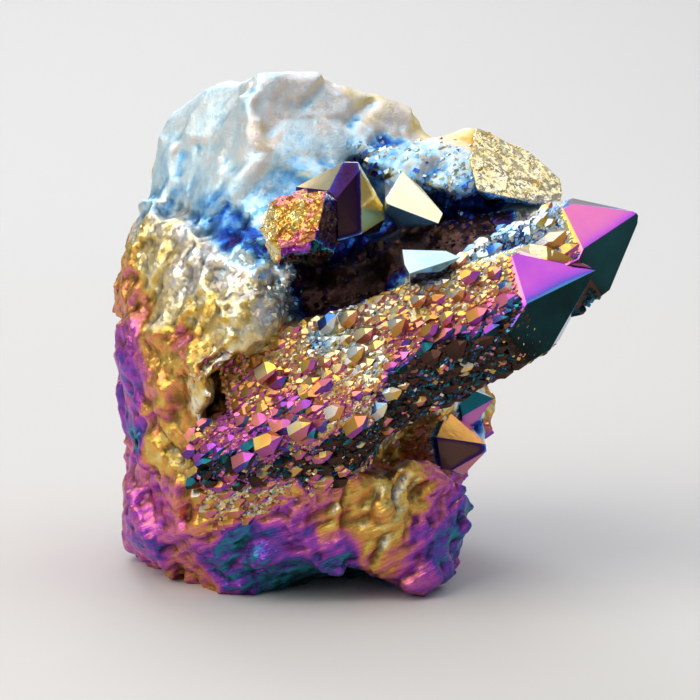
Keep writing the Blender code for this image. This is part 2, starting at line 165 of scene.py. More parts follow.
# Broken crystals: what is left of each is the hull of the corners of its faces.
BROKEN_CRYSTALS = {
    "tip_ledge": [
        (22.3, -18.0, 43.5), (24.5, -19.3, 43.4), (26.6, -20.1, 43.2), (29.8, -20.5, 42.7),
        (22.6, -18.0, 44.2), (24.5, -18.9, 45.1), (26.5, -19.5, 44.9), (29.2, -20.2, 43.7),
        (32.0, -20.0, 42.3), (23.1, -14.9, 43.8), (26.8, -15.9, 43.9), (30.6, -17.7, 42.5),
    ],
    "block_end": [
        (18.8, -1, 57.2), (20, 1, 56.4), (22.2, 1, 55.2), (25.6, 0, 54.2), (27.6, -1, 52.4),
        (29.4, -2, 50.6), (29.8, -3, 49.4), (29.4, -4, 48.4), (25.8, -7, 48.4), (23, -9, 49.4),
        (20, -10, 49.6), (18.6, -11, 50.6), (17.8, -8, 54), (19, 8, 55.6), (28, 5, 51.4),
        (29.2, 3, 48.2), (19.4, 6, 47.4),
    ],
    "dark_point": [
        (2.2, -16, 54.6), (4, -16.4, 54.6), (-3.6, -13, 51.2), (0.4, -18.4, 51.4), (1.4, -19.6, 50.6),
        (1.6, -20, 45.6), (4.4, -20, 46.4), (4.2, -17.6, 53.8), (7, -15, 49.2), (7.2, -15.6, 47.6),
        (3.2, -10, 53.2), (-3.2, -8, 49.6), (6.4, -9, 47.6), (-3.2, -11, 44.4), (6.6, -12, 45.6),
    ],
    "stub": [
        (-6.6, -22, 50.4), (-5.2, -21, 51), (0.2, -20.4, 51.6), (1.4, -20, 50.4), (1.6, -20, 48.2),
        (0.8, -21, 44.4), (-2.2, -25, 45), (-5.2, -24, 43.8), (-7.8, -23, 47.6), (0, -25.6, 51.4),
        (-1, -26, 46.4), (-5.8, -24.4, 50.4), (-5.2, -26, 45.4), (-5, -12, 47.6), (1.2, -12, 47.6),
        (0, -13, 42), (-6.2, -13, 42),
    ],
    "cream_point": [
        (9.4, -12, 53), (7.2, -17, 50.2), (7.4, -18, 49.8), (13.6, -18, 47.4), (14.2, -16.4, 48.4),
        (11.6, -13, 51.2), (9.4, -14, 46.8), (7.2, -15, 48.4), (7.2, -9, 51.6), (12.2, -8, 48.4),
        (9.2, -9, 45.4), (12.8, -11, 46.4),
    ],
    "slab": [
        (9.2, -20.4, 44.6), (14.4, -20, 44.4), (16.2, -20, 43.6), (10, -24, 42.2), (9.4, -23, 43.2),
        (13.8, -21, 42), (9, -15, 42.8), (15.2, -15, 42.4), (10.2, -16, 39.6),
    ],
}

# Whole crystals. tip is the point; heading swings the axis from +X towards the viewer and pitch
# lifts it, in degrees; roll turns the six sides about the axis. girdle is the distance from the axis
# to each side, starting at the top side and going round towards the viewer.
CRYSTALS = {
    "main": dict(tip=(32.3, -19.9, 42.0), heading=13, pitch=24.5, reach=46, taper=4.5,
                 girdle=(5.7, 6.1, 8.4, 6.4, 6.0, 5.8)),
    "back_right": dict(tip=(37.3, -14, 48.4), heading=5, pitch=29, reach=44, taper=3,
                       girdle=(4.6, 5.5, 6.8, 6.9, 6.0, 5.5), ends=(0, 0, 0.6, 1.8, 1, 0)),
    "lower_rib": dict(tip=(9.8, -21, 28.3), heading=13, pitch=24, reach=25, taper=3,
                      girdle=(4.0, 4.6, 5.0, 5.0, 5.0, 4.0)),
    "keel": dict(tip=(8.6, -19.5, 24.2), heading=12, pitch=20, reach=24, taper=4, roll=8,
                 girdle=(3.0, 4.4, 4.8, 5.5, 5.0, 4.0)),
    "under_point": dict(tip=(20.4, 0, 16.6), heading=30, pitch=4, reach=18, taper=2, roll=20,
                        girdle=(4.2, 3.8, 3.8, 3.8, 4.0, 4.2), ends=(0, 0, 0, 1, 1, 0)),
    "under_back": dict(tip=(21.8, 7, 21.2), heading=-4, pitch=10, reach=18, taper=3, roll=-8,
                       girdle=(3.8, 3.8, 3.8, 3.8, 3.8, 3.6)),
    "rear_point": dict(tip=(24.0, 16, 37.5), heading=-36, pitch=23, reach=28, taper=3, roll=10,
                       girdle=(5.2, 5.0, 5.6, 6.0, 5.4, 5.0)),
    "rear_mid": dict(tip=(15.5, 27.5, 34.5), heading=-56, pitch=17, reach=22, taper=3, roll=-12,
                     girdle=(3.6, 3.4, 3.8, 4.2, 3.8, 3.6)),
    "rear_low": dict(tip=(10.5, 26.5, 17.5), heading=-66, pitch=4, reach=20, taper=3, roll=25,
                     girdle=(4.2, 4.6, 4.4, 4.2, 4.0, 4.4)),
    "rear_high": dict(tip=(0.5, 29.0, 46.5), heading=-80, pitch=28, reach=18, taper=2, roll=-15,
                      girdle=(3.6, 4.0, 4.4, 4.2, 3.8, 3.6)),
    "rear_side": dict(tip=(-15.5, 27.5, 33.0), heading=-104, pitch=24, reach=16, taper=3, roll=20,
                      girdle=(3.2, 3.4, 3.8, 3.6, 3.0, 3.2)),
    "rear_foot": dict(tip=(-5.5, 26.5, 11.0), heading=-92, pitch=-3, reach=16, taper=2, roll=8,
                      girdle=(2.8, 3.0, 3.4, 3.2, 3.0, 2.8)),
}


# How the thin film's colour runs as the film gets thicker: name, colour, place on the scale. The
# last two stops, near-black green and dark umber, are painted shade rather than film colours: they
# darken the undersides and the faces turned away from the lights.
FILM = (
    ("bronze", "#573e37", 0.00),
    ("plum", "#34103f", 0.045),
    ("indigo", "#2f2a86", 0.10),
    ("blue", "#2a66c8", 0.16),
    ("sky", "#7fc0ee", 0.22),
    ("pale", "#d5ebf2", 0.28),
    ("blush", "#e6dcd6", 0.34),
    ("cream", "#f3e6b8", 0.40),
    ("gold", "#e2bd57", 0.47),
    ("orange", "#e09555", 0.54),
    ("rose", "#dd7898", 0.61),
    ("orchid", "#ae4cbc", 0.69),
    ("violet", "#574ab0", 0.765),
    ("teal", "#2b90a2", 0.83),
    ("deep_teal", "#0a4348", 0.89),
    ("shade_green_black", "#041312", 0.945),
    ("umber", "#4a3129", 1.00),
)

# Surfaces turned this way carry the film further along its scale than those turned the other way.
# This is partly the film laid thicker on one side and partly painted shade: faces turned down and
# to the right, away from the key light, run towards the darker colours.
FILM_DRIFT = Vector((0.75, -0.10, -0.65))
DRIFT_SHARE = 0.18

# Where the film stands on its scale over the specimen: position in millimetres, then the film.
# Under the long crystals, low on the foot and in a few hollows of the root and crown, the film is
# set at the dark end of the scale, or darker than round it: painted shade.
FILM_ZONES = {
    "crown": [
        (-7.8, -5.8, 62.6, 0.30), (-15.9, 0.8, 59.1, 0.285), (-15.1, -1.9, 54.6, 0.30),
        (-17.7, -2.5, 50.5, 0.27), (-19.0, -1.3, 47.8, 0.25), (-9.3, -6.4, 60.0, 0.28),
        (-10.8, -8.0, 54.0, 0.30), (-8.2, -7.6, 58.5, 0.36), (-5.5, -6, 58, 0.33),
        (0.5, -2.1, 59.8, 0.33), (-2, -3, 62, 0.33), (3.1, -1.8, 58.2, 0.31), (9.6, 2.1, 57.7, 0.34),
        (6.0, 1.6, 60.3, 0.38), (11.5, 4, 58, 0.42), (3.2, -2.8, 55.4, 0.285), (-4, -6, 54.5, 0.275),
        (-5.6, -8.8, 53.4, 0.255), (7, 1, 54.5, 0.20), (-16, 17, 58, 0.27), (-2, 18, 60, 0.33),
    ],
    "shoulder": [
        (-19.9, -6.4, 46.1, 0.365), (-21.8, -7.6, 41.2, 0.42), (-24.5, -5.3, 36.1, 0.54),
        (-22.5, -6, 44.5, 0.43), (-15.3, -11.5, 44.5, 0.33), (-17.0, -12.9, 40.4, 0.345),
        (-19.5, -12.0, 36.5, 0.40), (-27, 14, 40, 0.52), (-20, 22, 46, 0.42),
    ],
    "neck": [
        (-13.0, -8.8, 46.5, 0.20), (-10.0, -10.8, 46.0, 0.165), (-7.3, -11.0, 47.5, 0.24),
        (-4.5, -10.6, 49.4, 0.235), (-9.5, -9.8, 50.0, 0.26), (-5.5, -9.4, 51.8, 0.24),
        (-2.0, -8.0, 52.6, 0.28), (-9.5, -12.5, 45.0, 0.09), (-2, -9.5, 50.2, 0.15),
    ],
    "breast": [
        (-10.9, -17.5, 39.3, 0.36), (-15.1, -17.1, 35.3, 0.46), (-9.1, -15.0, 45.0, 0.16),
        (-9.7, -16.2, 42.5, 0.29), (-6, -17, 37.5, 0.34), (-10, -19, 34.5, 0.42),
    ],
    "flank": [
        (-21.5, -13.4, 33.1, 0.51), (-24.3, -8.8, 27.6, 0.72), (-18.3, -16.0, 28.0, 0.49),
        (-21.3, -13.8, 24.8, 0.56), (-14.9, -21.4, 31.4, 0.46), (-23.9, -9.2, 30.5, 0.66),
        (-16.9, -17.6, 31.7, 0.57), (-19.5, -15.9, 26.1, 0.53), (-15.7, -18.8, 24.8, 0.41),
        (-17.0, -18.4, 21.0, 0.52), (-27, 12, 27, 0.64), (-18, 24, 28, 0.50),
    ],
    "nub": [(-24.3, -5.4, 20.6, 0.69), (-24.4, -6.0, 18.6, 0.82)],
    "foot_left": [
        (-18.9, -14.1, 18.6, 0.48), (-22.2, -7.5, 11.0, 0.64), (-22.1, -9.3, 6.3, 0.73),
        (-17.1, -10.2, 3.7, 0.60), (-14.8, -9.7, 1.0, 0.58), (-15.2, -18.5, 11.5, 0.53),
        (-16.4, -17.8, 15.4, 0.46), (-23.5, -5, 14, 0.61), (-19, -12, 13, 0.64),
        (-20, -9, 8, 0.65), (-26, 10, 12, 0.62), (-20, 16, 6, 0.74),
    ],
    "foot_middle": [
        (-9.1, -20.2, 13.2, 0.53), (-4.8, -21.4, 15.0, 0.51), (-7.7, -18.4, 8.5, 0.765),
        (-10.9, -16.6, 4.8, 0.80), (-9.2, -19.0, 6.2, 0.775), (-12.0, -14.5, 2.5, 0.79),
        (-3.7, -20.3, 11.5, 0.66), (-0.6, -19.6, 13.2, 0.60), (1.2, -19.6, 10.7, 0.52),
        (-3.1, -19.8, 9.0, 0.73), (2.4, -19.6, 7.2, 0.73), (4.2, -19.0, 8.9, 0.50),
        (1.8, -17.4, 5.0, 0.80), (-2.0, -13.9, 3.6, 0.86), (0.5, -9.0, 1.5, 0.90),
        (-4, 20, 10, 0.66), (0, 18, 2, 0.83),
    ],
    "foot_right": [
        (9.7, -17.3, 15.8, 0.45), (12.8, -15.1, 16.6, 0.60), (14.1, -13.6, 13.4, 0.66),
        (9.1, -18.1, 12, 0.47), (7.3, -18.5, 8.6, 0.47), (11.0, -16.4, 8.7, 0.72),
        (14.1, -13.8, 7.1, 0.78), (17.1, -10.8, 9.2, 0.80), (15.8, -12, 11.5, 0.73),
        (10.4, -15.6, 3.0, 0.68), (7.5, -17, 5, 0.56), (17, 5, 5, 0.72),
    ],
    "long_crystals": [
        (0.6, -19.8, 34.5, 0.25), (-3.0, -17.1, 34.3, 0.38), (9.0, -21.6, 37.7, 0.39),
        (6, -18, 38, 0.37), (14, -19, 41.5, 0.31), (14.9, -22.2, 38.8, 0.46), (19.8, -23.5, 39.0, 0.60),
        (18, -22, 41, 0.43), (-3.0, -19.4, 32.0, 0.44), (-9.1, -19.6, 26.2, 0.47),
        (0.6, -22.3, 30.5, 0.42), (5, -22.5, 33, 0.34), (10, -23.5, 34.5, 0.56),
        (-11.4, -21.0, 22.7, 0.62), (-4.2, -23.4, 24.0, 0.60), (-8.0, -23.3, 21.2, 0.76),
        # films of 0.92 and more, on the long crystals' undersides, are painted shade
        (-8.0, -23.3, 19.6, 0.92), (1.8, -23.8, 26.8, 0.55), (14.8, -25.2, 32.1, 1.15),
        (23.1, -24.3, 35.3, 1.15), (9.0, -23.1, 27.4, 1.12), (4, -18, 22.5, 1.15),
        (-3.0, -22.5, 18.1, 1.10), (-11.4, -23.0, 16.8, 0.95), (3.0, -24.0, 21.0, 1.2),
        (8.0, -24.0, 24.5, 1.2), (-6.0, -24.0, 17.8, 1.1), (9.0, -22.0, 20.0, 1.2),
        (14, -10, 29, 1.10), (20, -16, 32, 1.15),
    ],
    "trough": [
        (12.8, -9.9, 44.9, -0.08), (3.0, -11.5, 38.3, -0.06), (-2.0, -13.0, 43.5, -0.04),
        (8, -8, 45, -0.08), (18, -8, 46.5, -0.02), (0, -12, 41.5, -0.06),
    ],
    "upper_block": [
        (6.7, -7.6, 53.9, 0.23), (11.7, -6.7, 54.4, 0.28), (16.0, -7.0, 53.2, 0.29),
        (18.5, -2.1, 57.0, 0.46), (24.2, -3.6, 52.9, 0.40), (27.9, -4.2, 49.8, 0.36),
        (12.9, -8.4, 50.6, 0.28), (18.0, -2.1, 48.3, 0.16), (6.5, 0.7, 50.8, 0.24), (9, -8, 52, 0.28),
        (16, -9, 50.5, 0.26), (14, -8, 52.5, 0.285), (5, -6, 52.5, 0.26),
        (12, 12, 52, 0.38), (25, 6, 48, 0.47),
    ],
    "second_crystal": [
        (25.9, -15.2, 47.7, 0.18), (28.1, -18.5, 46.0, 0.29), (24, -16, 45, 0.15),
        (33.0, -16.9, 47.1, 0.62), (28, -8, 42, 0.45), (30, -18, 40, 1.0),
    ],
    "low_points": [
        (17.1, 0.9, 18.9, 0.48), (18.6, -0.2, 15.9, 0.62), (19.9, 5.2, 21.1, 0.20),
        (14, 8, 24, 0.10), (12, -4, 26, 0.02), (13.8, -12, 24.7, 0.0),
    ],
    "back": [
        (20, 14, 38, 0.48), (10, 22, 38, 0.58), (12, 24, 34, 0.44), (8, 24, 18, 0.66),
        (0, 26, 44, 0.36), (-14, 26, 32, 0.58), (-6, 24, 12, 0.74), (-10, 22, 44, 0.47),
        (2, 22, 30, 0.54), (14, 16, 14, 0.80), (16, 12, 26, 0.60),
    ],
}

# The film on each crystal's flat faces: the way a face looks, then its film. Faces that look down,
# and most faces of the under_back crystal, are set near a dark end of the scale: painted shade.
FACE_FILMS = {
    "any": [
        ((0, 0, 1), 0.36), ((-1, 0, 0.2), 0.45), ((0, -1, 0.2), 0.50), ((1, 0, 0.2), 0.68),
        ((0, 0, -1), 0.93), ((0, 1, 0.1), 0.60), ((0.6, 0.6, 0.5), 0.55),
    ],
    "main": [
        ((0.24, -0.75, 0.61), 0.68), ((0.55, -0.83, -0.10), 0.93), ((0.2, -0.1, 0.97), 0.69),
        ((-0.40, -0.80, 0.45), 0.56), ((0.01, -0.89, -0.45), 0.95), ((0.6, 0.3, -0.5), 0.80),
        ((0.3, 0.8, 0.4), 0.55),
    ],
    "back_right": [
        ((0.29, -0.71, 0.64), 0.635), ((0.67, -0.74, -0.04), 0.905), ((0.2, -0.1, 0.97), 0.01),
        ((-0.40, -0.80, 0.45), 0.50), ((0.01, -0.89, -0.45), 1.0), ((0.3, 0.8, 0.3), 0.50),
    ],
    "lower_rib": [
        ((0.24, -0.75, 0.61), 0.42), ((0.55, -0.83, -0.11), 1.0), ((-0.35, -0.81, 0.48), 0.45),
        ((0.05, -0.9, -0.43), 1.1), ((0.86, -0.2, -0.47), 1.1), ((-0.35, 0.1, 0.93), 0.1),
    ],
    "keel": [
        ((0.28, -0.7, 0.67), 0.50), ((0.52, -0.85, -0.07), 1.05), ((-0.3, -0.74, 0.6), 0.95),
        ((0, -0.94, -0.33), 1.1), ((0.81, -0.28, -0.52), 1.1),
    ],
    "under_point": [
        ((0.25, -0.72, 0.64), 0.51), ((0.16, -0.98, -0.09), -0.02), ((0.62, -0.05, 0.78), 0.60),
        ((0.44, -0.57, -0.69), 0.60), ((-0.45, -0.88, -0.17), 0.07), ((-0.34, -0.55, 0.77), 0.12),
        ((-0.1, -0.35, -0.93), -0.02), ((1, 0.2, -0.2), 0.62),
    ],
    "under_back": [
        ((0.05, -0.92, 0.38), 0.91), ((0.21, -0.77, -0.6), 0.95), ((0.61, -0.69, 0.4), 0.84),
        ((0.73, -0.57, -0.37), 0.64), ((0, -0.1, 1), 0.2), ((0, 0, -1), 0.95), ((0.3, 0.9, 0.2), 0.5),
    ],
    "dark_point": [
        ((-0.61, -0.43, 0.67), 0.44), ((-0.28, -0.68, 0.67), 0.0), ((0.3, -0.9, 0.3), 0.02),
        ((-0.8, -0.6, 0.0), 0.02), ((-0.02, -1, 0.08), 0.02), ((0.8, -0.56, 0.2), 0.46),
        ((0.86, -0.44, 0.27), 0.46), ((0, 0, 1), 0.40), ((0, 0, -1), 1.0), ((0, 1, 0), 0.3),
    ],
    "stub": [
        ((-0.24, -0.93, 0.27), 0.50), ((-0.69, -0.71, 0.14), 0.42), ((0.91, -0.39, -0.15), 0.02),
        ((-0.2, -0.14, 0.97), 0.56), ((0.2, -0.3, -0.94), 1.0), ((0.16, -0.74, -0.66), 0.64),
        ((-0.02, -1, 0.08), 0.57), ((-1, 0.3, 0), 0.4),
    ],
    "cream_point": [
        ((0.29, -0.55, 0.78), 0.39), ((-0.32, -0.46, -0.83), 0.20), ((1, 0, 0.2), 0.41),
        ((-0.65, -0.13, 0.75), 0.30), ((-0.22, -0.4, 0.89), 0.35),
    ],
    "tip_ledge": [
        ((0, -0.5, 0.85), 0.43), ((0.3, -0.8, 0.5), 0.575), ((-0.4, -0.7, 0.6), 0.38), ((0, 1, 0), 0.30),
        ((-0.6, -0.3, 0.7), 0.34), ((0, 0, -1), 0.90),
    ],
    "slab": [
        ((0.07, -0.47, 0.88), 0.27), ((0.29, -0.69, 0.66), 0.26), ((0.56, -0.74, -0.38), 0.22),
        ((0.2, -0.6, 0.75), 0.27), ((0.2, -0.3, -0.93), 0.12), ((-1, 0, -0.1), 0.30),
    ],
    "block_end": [
        ((0.48, -0.57, 0.66), 0.37), ((0.46, -0.47, 0.75), 0.40), ((0.42, -0.43, 0.8), 0.45),
        ((0.6, -0.7, 0.4), 0.33), ((0.2, -0.8, -0.5), 0.20), ((1, 0.2, 0), 0.42), ((0, 0.3, 1), 0.45),
    ],
}

# Single crystals that stand clear of each host's overgrowth: tip, half-width and film.
SINGLES = {
    "main": [
        ((22.9, -24.4, 39.7), 1.15, 0.74), ((18.4, -22.7, 42.3), 1.0, 0.60),
        ((20.9, -22.7, 42.6), 0.8, 0.67), ((22.2, -23.7, 41.2), 0.75, 0.31),
        ((6.0, -21.4, 35.4), 1.0, 0.53), ((3.8, -20.2, 37.2), 0.9, 0.50),
        ((4.8, -22.8, 33.2), 0.8, 0.43), ((1.4, -20.0, 36.6), 1.2, 0.27),
        ((13.5, -24.2, 36.2), 0.9, 0.64), ((15.2, -24.1, 37.6), 0.8, 0.58),
        ((9.6, -23.0, 36.6), 0.9, 0.47), ((12.0, -22.4, 39.4), 0.8, 0.50),
        ((19.2, -24.7, 38.2), 0.9, 0.66), ((16.6, -23.2, 40.2), 0.8, 0.48),
        ((-6.0, -20.4, 30.6), 1.0, 0.55), ((-1.0, -22.0, 31.6), 0.9, 0.60),
    ],
    "back_right": [
        ((28.6, -19.0, 46.6), 1.2, 0.46), ((30.3, -19.6, 45.2), 1.0, 0.57),
        ((26.4, -18.4, 45.4), 0.8, 0.30),
    ],
    "lower_rib": [
        ((5.0, -25.4, 25.4), 1.1, 0.62), ((2.4, -24.8, 26.4), 1.0, 0.48),
        ((-1.4, -24.8, 24.6), 1.1, 0.55), ((-5.0, -24.6, 22.6), 1.2, 0.62),
        ((-8.4, -24.4, 20.6), 1.0, 0.75), ((7.4, -23.6, 26.6), 1.0, 0.30),
    ],
}

# What each crystal carries: which sides, how many small crystals of each size, the stretch of the
# host they cover counted back from its tip, and how far apart they stay in their own widths. From
# the distance "bare" on they cover its end faces as well. On a side in shade, the glint share of
# them is given a bright film as a painted glint, and the others with a thick film are set near black
# as painted shade. The finest crystals of a real crust are near 0.1 mm across; here they are about
# 0.4 mm across at the least, so that each one shows.
OVERGROWTH = {
    "main": [
        dict(sides=(0, 1), count=90, size=(0.55, 1.0), start=6.4, end=44, apart=1.6, rise=0.40),
        dict(sides=(0, 1), count=800, size=(0.32, 0.62), start=5.8, end=45, apart=1.0, rise=0.4,
             bare=10.3),
        dict(sides=(0, 1), count=2600, size=(0.20, 0.34), start=5.4, end=46, apart=0.8, rise=0.3),
        dict(sides=(2, 3), count=110, size=(0.45, 0.85), start=8.0, end=44, apart=1.5, rise=0.35,
             painted_glints=0.35),
        dict(sides=(2, 3), count=900, size=(0.22, 0.42), start=7.5, end=46, apart=1.0, rise=0.3, painted_glints=0.3,
             bare=10.0),
        dict(sides=(4, 5), count=90, size=(0.5, 1.0), start=7.5, end=40, apart=1.5, rise=0.4),
        dict(sides=(4, 5), count=700, size=(0.24, 0.45), start=7.0, end=40, apart=1.0, rise=0.35),
    ],
    "back_right": [
        dict(sides=(0, 1), count=60, size=(0.5, 0.95), start=7.5, end=26, apart=1.5, rise=0.4),
        dict(sides=(0, 1, 2), count=1300, size=(0.20, 0.38), start=6.0, end=30, apart=0.8, rise=0.35),
        dict(sides=(3, 4, 5), count=60, size=(0.5, 1.0), start=8.0, end=32, apart=1.5, rise=0.4),
        dict(sides=(3, 4, 5), count=800, size=(0.22, 0.42), start=7.5, end=34, apart=1.0, rise=0.35),
    ],
    "lower_rib": [
        dict(sides=(0, 1), count=80, size=(0.5, 1.0), start=1.5, end=26, apart=1.4, rise=0.45),
        dict(sides=(0, 1), count=1000, size=(0.20, 0.38), start=1.2, end=26, apart=0.8, rise=0.35, bare=0),
        dict(sides=(2, 3), count=80, size=(0.4, 0.75), start=1.5, end=26, apart=1.4, rise=0.35, painted_glints=0.4),
        dict(sides=(2, 3), count=700, size=(0.20, 0.38), start=1.2, end=26, apart=1.0, rise=0.3,
             painted_glints=0.35, bare=0),
    ],
    "keel": [
        dict(sides=(1, 2, 3), count=90, size=(0.45, 0.85), start=1.5, end=26, apart=1.4, rise=0.35,
             painted_glints=0.4),
        dict(sides=(1, 2, 3), count=900, size=(0.20, 0.38), start=1.2, end=26, apart=1.0, rise=0.3,
             painted_glints=0.35, bare=0),
    ],
    "rear_point": [
        dict(sides=(3, 4, 5), count=45, size=(0.6, 1.2), start=7.5, end=22, apart=1.4, rise=0.4),
        dict(sides=(2, 3, 4, 5), count=700, size=(0.24, 0.5), start=7, end=24, apart=0.9, rise=0.35),
    ],
    "rear_high": [
        dict(sides=(0, 3, 4), count=260, size=(0.25, 0.7), start=7, end=17, apart=0.9, rise=0.4),
    ],
    "rear_low": [
        dict(sides=(1, 2, 3), count=320, size=(0.25, 0.7), start=7, end=19, apart=0.9, rise=0.4),
    ],
    "under_point": [
        dict(sides=(0, 1, 2), count=260, size=(0.2, 0.5), start=6, end=16, apart=0.9, rise=0.35),
    ],
    "under_back": [
        dict(sides=(1, 2, 3), count=260, size=(0.25, 0.6), start=5, end=16, apart=0.9, rise=0.35),
    ],
}

# Grains on the root: middle and reach of each patch, how many and how big.
DRUSE = {
    "upper_block": dict(centre=(11, -6, 53), reach=8.5, count=130, size=(0.30, 0.60)),
    "upper_edge": dict(centre=(16, -8, 50), reach=7, count=160, size=(0.20, 0.50)),
    "between": dict(centre=(6, -3, 52), reach=5, count=80, size=(0.3, 0.6)),
    "breast": dict(centre=(-4, -16, 41), reach=7, count=150, size=(0.20, 0.50)),
    "trough_left": dict(centre=(2, -12, 40), reach=8, count=120, size=(0.20, 0.50)),
    "trough_right": dict(centre=(20, -11, 44), reach=8, count=180, size=(0.20, 0.50)),
    "pit": dict(centre=(-14.5, -20, 31), reach=3, count=30, size=(0.2, 0.45)),
    "right": dict(centre=(18, 6, 18), reach=14, count=420, size=(0.30, 0.85)),
    "back_middle": dict(centre=(4, 23, 28), reach=14, count=600, size=(0.30, 1.00)),
    "back_left": dict(centre=(-14, 23, 38), reach=12, count=320, size=(0.30, 0.95)),
    "back_low": dict(centre=(-12, 20, 14), reach=12, count=220, size=(0.25, 0.80)),
    "back_top": dict(centre=(2, 18, 54), reach=10, count=180, size=(0.25, 0.70)),
}

# Lines along which the root is creased: corners in millimetres, width and depth.
CREASES = [
    dict(line=[(-14.9, -9.5, 45.6), (-17.0, -12.9, 40.4), (-19.5, -14.0, 34.0)], width=1.1, depth=0.8),
    dict(line=[(3.1, -1.8, 58.2), (6.0, 1.6, 60.6)], width=0.8, depth=1.0),
    dict(line=[(-14.6, -21.1, 32.1), (-13.4, -21.0, 31.0)], width=1.9, depth=1.5),
    dict(line=[(-18.1, -14.7, 19.4), (-16.4, -17.8, 15.4), (-14.2, -18.0, 10.3)], width=0.6, depth=0.6),
    dict(line=[(-24, -8, 25.5), (-19, -15, 23)], width=1.0, depth=0.6),
    dict(line=[(-24, -5, 15.8), (-17, -14, 17)], width=0.9, depth=0.6),
    dict(line=[(-20, -7, 4.5), (-15, -12, 7)], width=0.8, depth=0.5),
    dict(line=[(-6, -20, 12.4), (3, -19, 10.5), (5, -18, 9)], width=0.9, depth=0.7),
    dict(line=[(-12, -15, 4), (-9, -19, 9), (-3, -19, 7)], width=0.8, depth=0.6),
    dict(line=[(6.5, -18, 12), (13, -14.5, 10)], width=0.7, depth=0.4),
    dict(line=[(9.2, -18.0, 16.0), (7.1, -18.5, 9.0), (4.6, -17.5, 2.0)], width=0.6, depth=1.3),
]

# Where the broken faces fold over themselves and are rounded off: middle and reach in millimetres.
FOLDED = [((-7.0, -18.6, 6.3), 2.6), ((3.4, -18.4, 8.6), 2.2)]

# At an edge a face's film takes on some of its thicker neighbours': how wide that rim is in
# millimetres, and how far it goes. The large crystals at the front have wider rims.
RIM_WIDTH = 0.25
RIM_SHARE = 0.22
RIM_SHARES = {"main": 1.2, "back_right": 0.5}
LARGE_RIM_WIDTH = 0.38
BROKEN_RIM_WIDTH = 0.16
EDGE_ROUNDING = 0.05

STREAK_SLANT = math.radians(-24)  # how the foot's striations slant, about the Y axis
STREAK_SHADE = 0.16  # how much the film differs from one striation to the next
CHIP_SHADE = 0.035  # how much the film differs from one little broken facet to the next
SATIN_ROUGHNESS = 0.22  # how much rougher a surface is where it is marked as satin

ROOT_VOXEL = 1.05  # grid that melts the root's blocks together
SKIN_VOXEL = 0.44  # finer grid that carries the chips and pits

# Heights in millimetres between which the root's character changes.
CROWN_PLANES = (44, 50)
CROWN_LUMPS = (41, 50)
CROWN_SATIN = (46, 51)
FOOT_PITS = (12, 20)
FOOT_FOLDS = (14, 20)
FOOT_STREAKS = (11, 19)

# Broken planes: their size, how far each leans, and how far each steps from its neighbours.
BREAKS = (8.0, 0.22, 0.45)
CHIPS = (4.2, 0.15, 0.10)
SHARDS = (1.9, 0.15, 0.04)
TORN_STEPS = (1.7, 0.24, 0.20)
WORN_CHIPS = (3.0, 0.10, 0.06)
SHARD_SHIFT = Vector((40, 0, 0))  # keeps the shards' pattern apart from that of the chips

# Rounded relief on the root: its size and height, or the size along x, along y and across.
DOME_STEEPNESS = 2.2
DOME_ROUNDNESS = 0.6
PIT_SIZE = 3.2
PIT_HEIGHT = 0.36
LUMP_SIZE = 3.6
LUMP_HEIGHT = 0.30
BEAD_SIZE = 1.5
BEAD_HEIGHT = 0.45
BEADED = (Vector((11.0, -6.0, 53.0)), 9.0)  # middle and reach of the beads on the upper block
FOLD_SIZE = (5, 4, 1.9)
FOLD_HEIGHT = 0.30
RIDGE_SIZE = (4, 3, 0.8)
RIDGE_HEIGHT = 0.24
FOLD_SLANT = 0.45  # how far the folds and ridges rise for each millimetre to the right
RELIEF_SINK = 0.2  # how far the skin is set back, so that the relief stands about its old place

SCALE_LENGTH = 1.7  # length and width of the scales under the long crystals' overgrowth
SCALE_WIDTH = 0.95
SCALE_RISE = 0.34  # how far each scale stands out, and how much further it does towards its end
SCALE_TILT = 0.40
SCALE_START = 0.15  # how far from its end faces a crystal's scales start, and reach full height
SCALE_BLEND = 0.7
BESIDE_START = 0.2  # the same beside a crystal that stays clear of them
BESIDE_BLEND = 0.6
SCALE_DRIFT = 1.5  # how much more the scales' film drifts with the way they face
FACE_SHARPNESS = 24  # how strictly a face takes the film of the nearest way in its table

# Between two zones the film changes along a border that sways; a zone's film is level at its core.
ZONE_SWAY = 0.7
ZONE_CORE = 1.5
ZONE_SHARPNESS = 3.3

# A place on the root that lies this deep below its surroundings, in millimetres, gets the full painted
# shade.
HOLLOW_DEPTH = 0.16

# Painted shade on each small crystal, darkest at its hidden base:
SHADE_LENGTH = 2.4  # how a small crystal's shading deepens from its tip down, in its own half-widths
SHADE_START = 0.15
RHOMB_SLOPE = math.radians(57.6)  # how a rhomb's edges slope away from its axis
SMALL_WIDTH = 0.5  # layers of crystals no larger than this are rhombs, and the rest are points
RHOMB_STRETCH = 1.4  # how much longer the rhombs are along the host's axis
MOST_BURIED = 0.35  # how deep in the root a small crystal may still start, in millimetres
INSIDE_OTHERS = -0.1  # nothing grows this far inside another crystal, or this near one beside it
NEAR_BESIDE = 1.0
FILM_SCATTER = 0.025  # how much the film differs from one small crystal to the next
FILM_BY_SIZE = 0.17  # how much thicker it is for each millimetre over the middle size
MIDDLE_SIZE = 0.42
# Painted shade and painted glints on the small crystals of a side in shade:
PAINTED_SHADE_FROM = 0.74  # small crystals on a dark side are either as dark as can be or glint
PAINTED_SHADE_FILM = 1.0
PAINTED_GLINT_FILMS = (0.38, 0.60)
GLINT_DRIFT = 0.006  # how much thicker the glints' film is for each millimetre left of their edge
GLINT_EDGE = 5  # where that edge is along X

